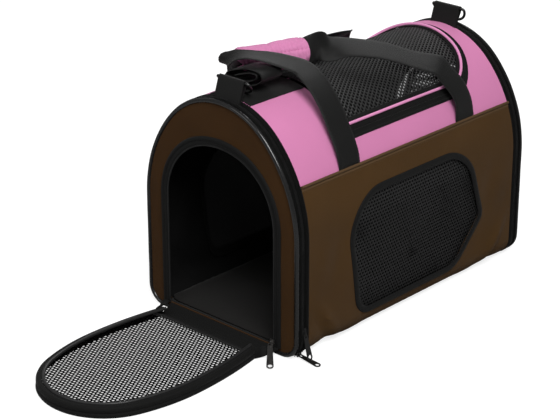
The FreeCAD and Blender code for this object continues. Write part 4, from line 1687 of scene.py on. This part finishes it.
@dataclass
class Door(EndAssembly):
    """Fold-down mesh door: rim, piping, netting and the cloth at its hinge."""

    rim: float = 0.0095
    height: float = 0.0145
    wall: float = 0.0020
    cord_r: float = 0.0022
    hinge_half: float = 0.0715
    hinge_thick: float = 0.0012
    tail_top: tuple[float, float] = (0.0970, 0.0100)
    tail_w: float = 0.0105
    pitch: float = 0.0052
    thread: float = 0.0022

    def edge(self, out: float) -> Line:
        """Line along the door's piping at a height, facing the door's inner side."""
        return line_on(DoorPlane(self.rear), DOOR.line(0.0, DOOR_FOOT), out, False)

    def build(self) -> None:
        """Make the door."""
        end, body, finishes = self.name, self.name + "_door", self.finishes
        line = self.edge(0.0)
        centre = DoorPlane(self.rear).place(np.array([[0.0, 0.12]]), 0.0)[0]
        outward = 1.0 if float(line.across[0] @ (line.points[0] - centre)) > 0 else -1.0
        w, h, t = self.rim, self.height, self.wall
        profile = np.array([
            (w - 0.0004, 0.0006), (w, 0.0014), (w, 0.0056), (w - 0.0010, 0.0066), (w - 0.0010, 0.0072),
            (w, 0.0082), (w - 0.0001, h - 0.0030), (w - 0.0012, h - 0.0008), (w - 0.0030, h),
            (w - 0.0052, h - 0.0002),
            (self.cord_r, h - 0.0004), (self.cord_r, h - t + 0.0002), (w - t - 0.0006, h - t),
            (w - t, h - t - 0.0010), (w - t, 0.0008), (w - t + 0.0004, 0.0006)]) * (outward, 1)
        mesh = sweep(end + "_door_rim_cloth", line, profile, sharp=55)
        rim = self.piece(mesh, [finishes.tape], body, "black_fabric", [end + "_door_rim"])
        cord = sweep(end + "_door_cord", self.edge(h - t + self.cord_r), round_section(self.cord_r))
        self.piece(cord, [finishes.door_cord], body, "black_piping", [end + "_door_piping"])
        self.row(end + "_door_teeth", line.moved(outward * (w - 0.0002), 0.0022), BeadKind.TOOTH, TEETH,
                 finishes.coil, body, "black_fabric", [end + "_door_rim"])
        self.row(end + "_door_stitches", line.moved(outward * (w - 0.0058), h - 0.0001), BeadKind.STITCH,
                 LONG_STITCH, finishes.black_thread, body, "black_fabric")
        loop = closed_arch(DOOR.line(-0.0074, 0.0175), 40)
        mesh = net(end + "_door_net", DoorPlane(self.rear), loop, h - t - 0.0004, self.pitch, self.thread,
                   THREAD_T, finishes.net)
        self.piece(mesh, [], body, "black_mesh", [end + "_door_mesh"])
        self.hinge()

    def hinge(self) -> None:
        """Tape from the end panel over the hinge up to the netting, which bends as the door folds."""
        bag = [(0.2246, 0.0088), (0.2300, 0.0068), (0.2365, 0.0052), (0.2425, 0.0042)]
        if self.rear:
            door = [(0.2460, 0.0042), (0.2460, 0.0062), (0.2425, 0.0120), (0.2378, 0.0196)]
            start, end, sign = (0.0, 0.2440, 0.0042), (0.0, 0.2440, 0.0085), 1.0
        else:
            door = [(0.2475, 0.0040), (0.2520, 0.0048), (0.2580, 0.0080), (0.2655, 0.0120)]
            start, end, sign = (0.0, -0.2440, 0.0040), (0.0, -0.2520, 0.0040), -1.0
        route = spaced(np.array(bag + door), 0.0015, False)
        points = np.stack([np.zeros(len(route)), sign * route[:, 0], route[:, 1]], 1)
        line = line_across(points, (1, 0, 0))
        line.facing *= np.sign(line.facing[0, 2])
        section = strip_section(self.hinge_half, 0.0, self.hinge_thick, 24)
        self.tails(start, end)
        wide = np.stack([np.interp(np.arange(len(points)), (0, len(points) - 1), (1.25, 1.10)),
                         np.ones(len(points))], 1)
        mesh = sweep(self.name + "_hinge_tape", line, section, wide)
        self.piece(mesh, [self.finishes.tape], (BAG, self.name + "_door", start, end), "black_tape",
                   [self.name + "_door_hinge_strip", self.name + "_door_hem"])

    def tails(self, start: tuple, end: tuple) -> None:
        """Zip tape that runs on from the opening to the foot of the rim, on both sides of the hinge.

        Args:
            start: point on the bag's side of the hinge.
            end: point on the door's side of it.
        """
        door, panel = DoorPlane(self.rear), EndPlane(PANEL_Y, self.rear)
        foot = float(DOOR.line(0.0, DOOR_FOOT)[0, 0]) + self.rim - 0.0008
        normal = door.normals(np.zeros((1, 2)))[0]
        for k, side in enumerate((1.0, -1.0)):
            a = panel.place(np.array([[side * self.tail_top[0], self.tail_top[1]]]), 0.0013)[0]
            b = door.place(np.array([[side * foot * (-1 if self.rear else 1), 0.009]]), 0.0078)[0]
            t = np.linspace(0, 1, 24)[:, None]
            ease = t * t * (3 - 2 * t)
            points = a + (b - a) * t
            flat = np.array([side, 0.0, 0.0])
            across = unit(flat * (1 - ease) - normal * ease)
            bare = Line(points, across, across)
            facing = unit(np.cross(across, bare.ahead))
            across = np.cross(bare.ahead, facing)
            size = np.stack([0.90 + 0.55 * ease[:, 0], np.ones(24)], 1)
            mesh = sweep(f"{self.name}_zip_tail_{k}", Line(points, across, facing),
                         tape_section(self.tail_w, 0.0012, 0.0002), size)
            self.piece(mesh, [self.finishes.tape], (BAG, self.name + "_door", start, end), "black_zip",
                       [self.name + "_door_hinge_strip"])


@dataclass
class RingTab(EndAssembly):
    """Folded webbing tab that holds a D-ring on the roof."""

    half: float = 0.0210
    thick: float = 0.0013
    bar_y: tuple[float, float] = (-0.203, 0.214)  # front, rear
    bar_z: float = 0.3285
    bend_r: float = 0.0027
    root_z: float = 0.3040

    def build(self) -> None:
        """Make the tab: up over the ring's bar and back down behind."""
        end = self.name
        low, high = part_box(end + "_ring_tab")
        bar = np.array([self.bar_y[self.rear], self.bar_z])
        mid = (low.x + high.x) / 2
        root = np.array([bar[0] - 0.0100, self.root_z])
        lean = bar - root
        lean /= np.linalg.norm(lean)
        side = np.array([lean[1], -lean[0]])
        turn = np.linspace(0, math.pi, 9)
        over = [bar + self.bend_r * (math.cos(a) * side + math.sin(a) * lean) for a in turn]
        route = spaced(np.array([root + side * 0.0008, *over, root - side * 0.0008]), 0.0012, False)
        points = np.stack([np.full(len(route), mid), route[:, 0], route[:, 1]], 1)
        section = strip_section(self.half, -self.thick / 2, self.thick / 2, 12)
        mesh = sweep(end + "_tab", line_across(points, (1, 0, 0)), section)
        self.piece(mesh, [self.finishes.webbing], BAG, "black_webbing", [end + "_ring_tab"])


def puffed(mesh: bpy.types.Mesh, held: Array, pressure: float = 4.0, slack: float = 0.05,
           frames: int = 20, cap: float = 0.006) -> bpy.types.Mesh:
    """Blow up a cover of cloth between its seams.

    Args:
        mesh: the cover as it is cut.
        held: True for every vertex that is sewn down.
        pressure: pressure of the padding.
        slack: how much longer the cloth is than the shape it starts from.
        frames: length of the simulation.
        cap: how far a point may move.

    Returns:
        The cover at rest.
    """
    scene = bpy.context.scene
    cover = into_scene("cover", mesh)
    group = cover.vertex_groups.new(name="sewn")
    group.add([int(k) for k in np.flatnonzero(held)], 1.0, "REPLACE")
    cloth = cover.modifiers.new("cloth", "CLOTH")
    settings = cloth.settings
    settings.quality = 8
    settings.mass = 0.2
    settings.tension_stiffness = settings.compression_stiffness = 12
    settings.shear_stiffness = 4
    settings.bending_stiffness = 0.4
    settings.shrink_min = -slack
    settings.vertex_group_mass = "sewn"
    settings.use_pressure = True
    settings.uniform_pressure_force = pressure
    settings.effector_weights.gravity = 0
    cloth.collision_settings.use_collision = False
    cloth.point_cache.frame_start, cloth.point_cache.frame_end = 1, frames
    for frame_number in range(1, frames + 1):
        scene.frame_set(frame_number)
    graph = bpy.context.evaluated_depsgraph_get()
    result = bpy.data.meshes.new_from_object(cover.evaluated_get(graph), depsgraph=graph)
    before = corners_of(mesh)
    moved = corners_of(result) - before
    far = np.linalg.norm(moved, axis=1)
    moved *= np.minimum(1, cap / np.maximum(far, 1e-9))[:, None]
    result.vertices.foreach_set("co", (before + moved).ravel())
    result.update()
    LOG.info("cover %s swelled by up to %.1f mm", mesh.name, far.max() * 1000)
    bpy.data.objects.remove(cover)
    name = mesh.name
    bpy.data.meshes.remove(mesh)
    result.name = name
    scene.frame_set(1)
    return result


@dataclass
class Handles(Assembly):
    """Webbing handles sewn in at the seams, and the padded grip round the near one."""

    width: float = 0.038
    thick: float = 0.0016
    grip_r: float = 0.0170
    fold_half: float = 0.0185
    seam_at: float = 2.62
    stitch_at: float = 0.0150
    strap_stitch: float = 0.0046
    grip_stitch: float = 0.0048
    grip_rings: int = 110
    grip_sides: int = 72
    grip_front: tuple[float, float, float] = (-0.040, -0.148, 0.328)
    grip_rear: tuple[float, float, float] = (-0.007, -0.063, 0.329)

    @property
    def grip_ahead(self) -> Array:
        """Direction of the grip from its front end to its rear end."""
        return unit(np.array([self.grip_rear]) - np.array([self.grip_front]))[0]

    @property
    def grip_level(self) -> Array:
        """Level direction across the grip."""
        return np.array([-self.grip_ahead[1], self.grip_ahead[0], 0.0])

    def near_route(self) -> list[tuple]:
        """Route of the near handle.

        Returns:
            Middle points in millimetres, each with the direction across and, where it is less, the width.
        """
        level = tuple(self.grip_level)
        front, rear = np.array(self.grip_front) * 1000, np.array(self.grip_rear) * 1000
        y = (0, 1, 0)
        return [
            ((115.6, -116, 221.2), y), ((113.5, -116, 234), y), ((106, -116, 252), y), ((97, -116, 268), y),
            ((88, -116, 284), y), ((74, -116, 303), y), ((56, -116, 320), y), ((39, -118, 330), y),
            ((25, -128, 336), (-0.2, 1, 0)), ((13, -140, 341), (-0.4, 1, 0)),
            ((1, -152, 345), (-0.6, 1, 0), 34),
            ((-13, -162, 346), (-0.8, 0.8, 0), 32), ((-27, -169, 342), (-0.9, 0.5, 0), 30),
            ((-37, -172, 334), (-0.93, 0.364, 0), 28), ((-41, -166, 328), (-0.93, 0.364, 0), 26),
            (tuple(front), level, 24), (tuple((front * 2 + rear) / 3), level, 24),
            (tuple((front + rear * 3) / 4), (-0.75, 0.25, 0.6), 26), (tuple(rear), (-0.35, 0.1, 0.93), 32),
            ((-4, -52, 331), (-0.1, 0.1, 1), 35), ((-1, -40, 331), (-0.2, 0.2, 0.96), 37),
            ((4, -27, 326), (-0.5, 0.5, 0.6)), ((12, -12, 326), (-0.62, 0.62, 0.4)),
            ((24, 8, 323), (-0.65, 0.68, 0.32)), ((42, 36, 316), (-0.65, 0.7, 0.3)),
            ((68, 70, 301), (-0.6, 0.75, 0.3)),
            ((86.5, 94, 291), (-0.38, 0.85, 0.36)), ((93, 99, 281), (-0.3, 0.9, 0.3)),
            ((106, 109, 261), (-0.2, 1, 0.2)), ((112.5, 113, 243), (-0.1, 1, 0)), ((115.6, 113, 221.2), y)]

    def far_route(self) -> list[tuple]:
        """Route of the far handle.

        Returns:
            Middle points in millimetres, each with the direction across and, where it is less, the width.
        """
        y = (0, -1, 0)
        return [
            ((-115.6, 113, 221.2), (0, 1, 0)), ((-112.5, 113, 243), (0.1, 1, 0)),
            ((-106, 109, 261), (0.2, 1, 0.2)),
            ((-93, 99, 281), (0.3, 0.9, 0.3)), ((-86.5, 94, 291), (0.38, 0.85, 0.36)),
            ((-70, 77, 301), (0.5, 0.7, 0.46)), ((-53, 54, 312), (0.7, 0.56, 0.4)),
            ((-41, 20, 318), (0.7, 0.2, 0.6), 34),
            ((-40, -20, 318), (0.6, 0, 0.8), 32), ((-50, -60, 314), (0.6, 0, 0.8), 32),
            ((-64, -96, 307), (0.5, -0.2, 0.8), 32), ((-77, -114, 299), (0.2, -0.9, 0.3)),
            ((-86.8, -116, 285.6), y),
            ((-97, -116, 268), y), ((-106, -116, 252), y), ((-113.5, -116, 234), y),
            ((-115.6, -116, 221.2), y)]

    def ribbon(self, name: str, route: list[tuple]) -> tuple[bpy.types.Mesh, Line, Array]:
        """Webbing along a smooth line through a route.

        Args:
            name: name of the mesh.
            route: middle points in millimetres with the direction across and the width.

        Returns:
            The mesh, its middle line and the relative width along it.
        """
        full = self.width * 1000
        rows = np.array([[*p, *a, *(rest[:1] or (full,))] for p, a, *rest in route], float)
        rows[:, 3:6] = unit(rows[:, 3:6])
        smooth = spaced(curved(rows, 14), 3.0, False)
        points = smooth[:, :3] / 1000
        ahead = unit(np.gradient(points, axis=0))
        across = unit(smooth[:, 3:6] - ahead * np.sum(smooth[:, 3:6] * ahead, axis=1)[:, None])
        line = Line(points, across, np.cross(across, ahead))
        half, t = self.width / 2, self.thick / 2
        columns = np.linspace(-half + 0.0008, half - 0.0008, 9)
        cup = 0.0006 * (columns / half) ** 2
        section = np.vstack([[(-half, 0.0002)], np.stack([columns, t + cup], 1), [(half, 0.0002)],
                             np.stack([columns[::-1], -t + cup[::-1]], 1)])
        size = np.stack([smooth[:, 6] / full, np.ones(len(smooth))], 1)
        return sweep(name, line, section, size, sharp=60), line, size[:, 0]

    def straps(self) -> None:
        """Both handles, which stretch between their sewn ends and their loops."""
        for side, route in (("near", self.near_route()), ("far", self.far_route())):
            mesh, line, wide = self.ribbon(side + "_strap", route)
            bend = (side + "_handle_base", side + "_handle", (0, 0, 0.225), (0, 0, 0.284))
            self.piece(mesh, [self.finishes.webbing], bend, "black_webbing",
                       [side + "_handle_legs", side + "_handle_loop"])
            for k, offset in enumerate((-self.stitch_at, self.stitch_at)):
                above = line.facing * (self.thick / 2 + 0.0004)
                track = line.points + line.across * (offset * wide[:, None]) + above
                self.row(f"{side}_strap_stitches_{k}", Line(track, line.across, line.facing),
                         BeadKind.STITCH, self.strap_stitch, self.finishes.black_thread, bend,
                         "black_webbing")

    def loose_fold(self) -> None:
        """Slack turn of the near handle's webbing in front of the grip."""
        turns = np.array([(-14, 324.5), (0, 329), (11, 331.5), (18, 330.5), (17, 325.5), (6, 320), (-8, 317),
                          (-20, 317), (-28, 320), (-26, 326), (-12, 332), (2, 335.5), (15, 336), (24, 333),
                          (27, 327), (20, 319.5), (6, 314.5), (-10, 312), (-24, 313.5)]) / 1000
        smooth = curved(np.hstack([turns, np.zeros((len(turns), 1))]), 8)[:, :2]
        run = spaced(smooth, 0.002, False)
        points = np.stack([run[:, 0], run[:, 0] * 0.12 - 0.1615, run[:, 1]], 1)
        half, t = self.fold_half, self.thick / 2
        section = np.array([(-half, 0), (-half + 0.001, t), (half - 0.001, t), (half, 0), (half - 0.001, -t),
                            (-half + 0.001, -t)])
        mesh = sweep("near_strap_fold", line_across(points, (0, 1, 0)), section)
        self.piece(mesh, [self.finishes.webbing], "near_handle", "black_webbing", ["near_handle_loop"])

    def grip(self) -> None:
        """Padded wrap with its stitched seam, puckers and drawn-in ends."""
        front, rear = np.array(self.grip_front), np.array(self.grip_rear)
        ahead, level = self.grip_ahead, self.grip_level
        length, count, around = np.linalg.norm(rear - front), self.grip_rings, self.grip_sides
        t = np.linspace(0, 1, count)
        turn = np.linspace(0, 2 * math.pi, around, endpoint=False)
        ends = np.clip(np.minimum(t, 1 - t) / 0.10, 0, 1)
        pull = 0.93 + 0.07 * np.sqrt(1 - (1 - ends) ** 2)
        up = np.cross(ahead, level)
        points = []
        for k in range(count):
            away = (turn - self.seam_at + math.pi) % (2 * math.pi) - math.pi
            seam = np.exp(-(away / 0.09) ** 2)
            ripple = np.sin(30 * math.pi * t[k] + 1.3 * np.sin(9 * t[k]))
            pucker = 0.020 * ripple * np.exp(-(np.abs(away) / 0.5) ** 1.5)
            soft = 0.022 * np.sin(3 * turn + 5 * t[k]) + 0.018 * np.sin(9 * t[k] + 2 * turn)
            crease = 0.016 * np.sin(17 * t[k] + 6 * turn) * np.sin(5 * turn + 1)
            hem = sum(np.exp(-((t[k] - edge) / 0.012) ** 2) for edge in (0.06, 0.94))
            radius = self.grip_r * pull[k] * (1 + pucker + soft + crease - 0.06 * seam - 0.05 * hem)
            centre = front + ahead * length * t[k]
            points.append(centre + radius[:, None] * (np.cos(turn)[:, None] * level
                                                      + np.sin(turn)[:, None] * up))
        points = np.vstack(points)
        faces = skin_faces(count, around, False)
        uv = np.stack([np.tile(turn * self.grip_r, count), np.repeat(t * length, around)], 1)
        ring, column = np.divmod(np.arange(count * around), around)
        seam_column = round(self.seam_at / (2 * math.pi) * around)
        held = (ring < 3) | (ring > count - 4) | (np.abs(column - seam_column) < 1)
        mesh = puffed(mesh_from("padded_grip", points, faces, uv), held)
        points = corners_of(mesh)
        grip = self.piece(mesh, [self.finishes.padding], "near_handle", "pink_padding", ["handle_grip"])
        middle = points.reshape(count, around, 3)[3:-3, int(self.seam_at / (2 * math.pi) * around)]
        outward = np.cos(self.seam_at) * level + np.sin(self.seam_at) * up
        line = Line(middle + outward * 0.0002, np.tile(np.cross(ahead, outward), (len(middle), 1)),
                    np.tile(outward, (len(middle), 1)))
        self.row("grip_stitches", line, BeadKind.HEAVY_STITCH, self.grip_stitch, self.finishes.pink_thread,
                 "near_handle", "pink_padding")

    def build(self) -> None:
        """Make the handles."""
        self.straps()
        self.loose_fold()
        self.grip()


def curved(rows: Array, parts: int) -> Array:
    """A smooth line through rows of numbers.

    Args:
        rows: what the line passes through.
        parts: how many pieces each span is divided into.

    Returns:
        The rows with smooth steps in between.
    """
    padded = np.vstack([2 * rows[0] - rows[1], rows, 2 * rows[-1] - rows[-2]])
    gap = np.maximum(np.linalg.norm(np.diff(padded[:, :3], axis=0), axis=1), 1e-6) ** 0.5
    knots = np.concatenate([[0], np.cumsum(gap)])
    result = []
    for i in range(1, len(padded) - 2):
        t0, t1, t2, t3 = knots[i - 1:i + 3]
        p0, p1, p2, p3 = padded[i - 1:i + 3]
        for t in np.linspace(t1, t2, parts, endpoint=False):
            a1 = (t1 - t) / (t1 - t0) * p0 + (t - t0) / (t1 - t0) * p1
            a2 = (t2 - t) / (t2 - t1) * p1 + (t - t1) / (t2 - t1) * p2
            a3 = (t3 - t) / (t3 - t2) * p2 + (t - t2) / (t3 - t2) * p3
            b1 = (t2 - t) / (t2 - t0) * a1 + (t - t0) / (t2 - t0) * a2
            b2 = (t3 - t) / (t3 - t1) * a2 + (t - t1) / (t3 - t1) * a3
            result.append((t2 - t) / (t2 - t1) * b1 + (t - t1) / (t2 - t1) * b2)
    result.append(rows[-1])
    return np.array(result)


# ---- studio ---------------------------------------------------------------------------------
@dataclass(frozen=True)
class Studio:
    """Pale floor, soft lights and the camera."""

    azimuth: float = 42.83
    elevation: float = 23.07
    lens: float = 117.92
    eye: tuple[float, float, float] = (1.4592, -1.6895, 1.0449)

    def camera(self) -> None:
        """Place the camera."""
        data = bpy.data.cameras.new("camera")
        data.lens, data.sensor_width = self.lens, 36.0
        thing = into_scene("camera", data)
        a, e = math.radians(self.azimuth), math.radians(self.elevation)
        back = Vector((math.sin(a) * math.cos(e), -math.cos(a) * math.cos(e), math.sin(e)))
        right = Vector((math.cos(a), math.sin(a), 0))
        up = back.cross(right)
        turn = Matrix((right, up, back)).transposed()
        thing.matrix_world = Matrix.Translation(self.eye) @ turn.to_4x4()
        bpy.context.scene.camera = thing

    def light(self, name: str, place: tuple, aim: tuple, size: float, power: float) -> None:
        """A square soft light.

        Args:
            name: name of the light.
            place: where it stands.
            aim: what it points at.
            size: side of the square.
            power: strength in watts.
        """
        data = bpy.data.lights.new(name, "AREA")
        data.size, data.energy = size, power
        thing = into_scene(name, data)
        thing.location = place
        thing.rotation_euler = (Vector(aim) - Vector(place)).to_track_quat("-Z", "Y").to_euler()

    def build(self) -> None:
        """Make the studio."""
        self.camera()
        self.light("key", (1.5, -1.1, 2.2), (0, 0, 0.12), 1.2, 72)
        self.light("front", (-0.6, -2.0, 1.3), (0, -0.1, 0.15), 1.0, 8)
        self.light("back", (-0.9, 1.5, 1.7), (0, 0, 0.2), 1.0, 16)
        mesh = bpy.data.meshes.new("floor")
        mesh.from_pydata([(-8, -8, 0), (8, -8, 0), (8, 8, 0), (-8, 8, 0)], [], [(0, 1, 2, 3)])
        floor = into_scene("floor", mesh)
        mesh.materials.append(self.paper())
        world = bpy.data.worlds.new("studio")
        world.use_nodes = True
        graph = Graph(world.node_tree)
        seen = graph.add("ShaderNodeLightPath", {}, {}, "Is Camera Ray")
        sky = graph.add("ShaderNodeBackground", {}, {"Color": (1, 1, 1, 1), "Strength": seen * 0.76 + 0.24})
        graph.add("ShaderNodeOutputWorld", {}, {0: sky})
        bpy.context.scene.world = world
        bpy.context.scene.view_settings.view_transform = "Standard"

    def paper(self) -> bpy.types.Material:
        """Pale backdrop paper.

        Returns:
            The material.
        """
        paint = Paint("paper")
        seen = paint.graph.add("ShaderNodeLightPath", {}, {}, "Is Camera Ray")
        return paint.done({
            "Base Color": paint.mixed(paint.noise(3.0, 2.0), (0.34, 0.34, 0.34, 1), (0.37, 0.37, 0.37, 1)),
            "Roughness": 0.9, "Specular IOR Level": 0.1, "Emission Strength": 1.0,
            "Emission Color": paint.mixed(seen, (0, 0, 0, 1), (0.80, 0.80, 0.80, 1))})


def main() -> None:
    """Build the studio and the bag, one sub-assembly after another."""
    logging.basicConfig(level=logging.INFO, format="%(name)s %(message)s")
    Studio().build()
    finishes = Finishes()
    Shell(finishes).build()
    Windows(finishes).build()
    Roof(finishes).build()
    for rear in (False, True):
        End(finishes, rear=rear).build()
        Door(finishes, rear=rear).build()
        RingTab(finishes, rear=rear).build()
    Handles(finishes).build()
    dress(["base_board"], finishes.board)
    bpy.context.view_layer.update()


if __name__ == "__main__":
    main()
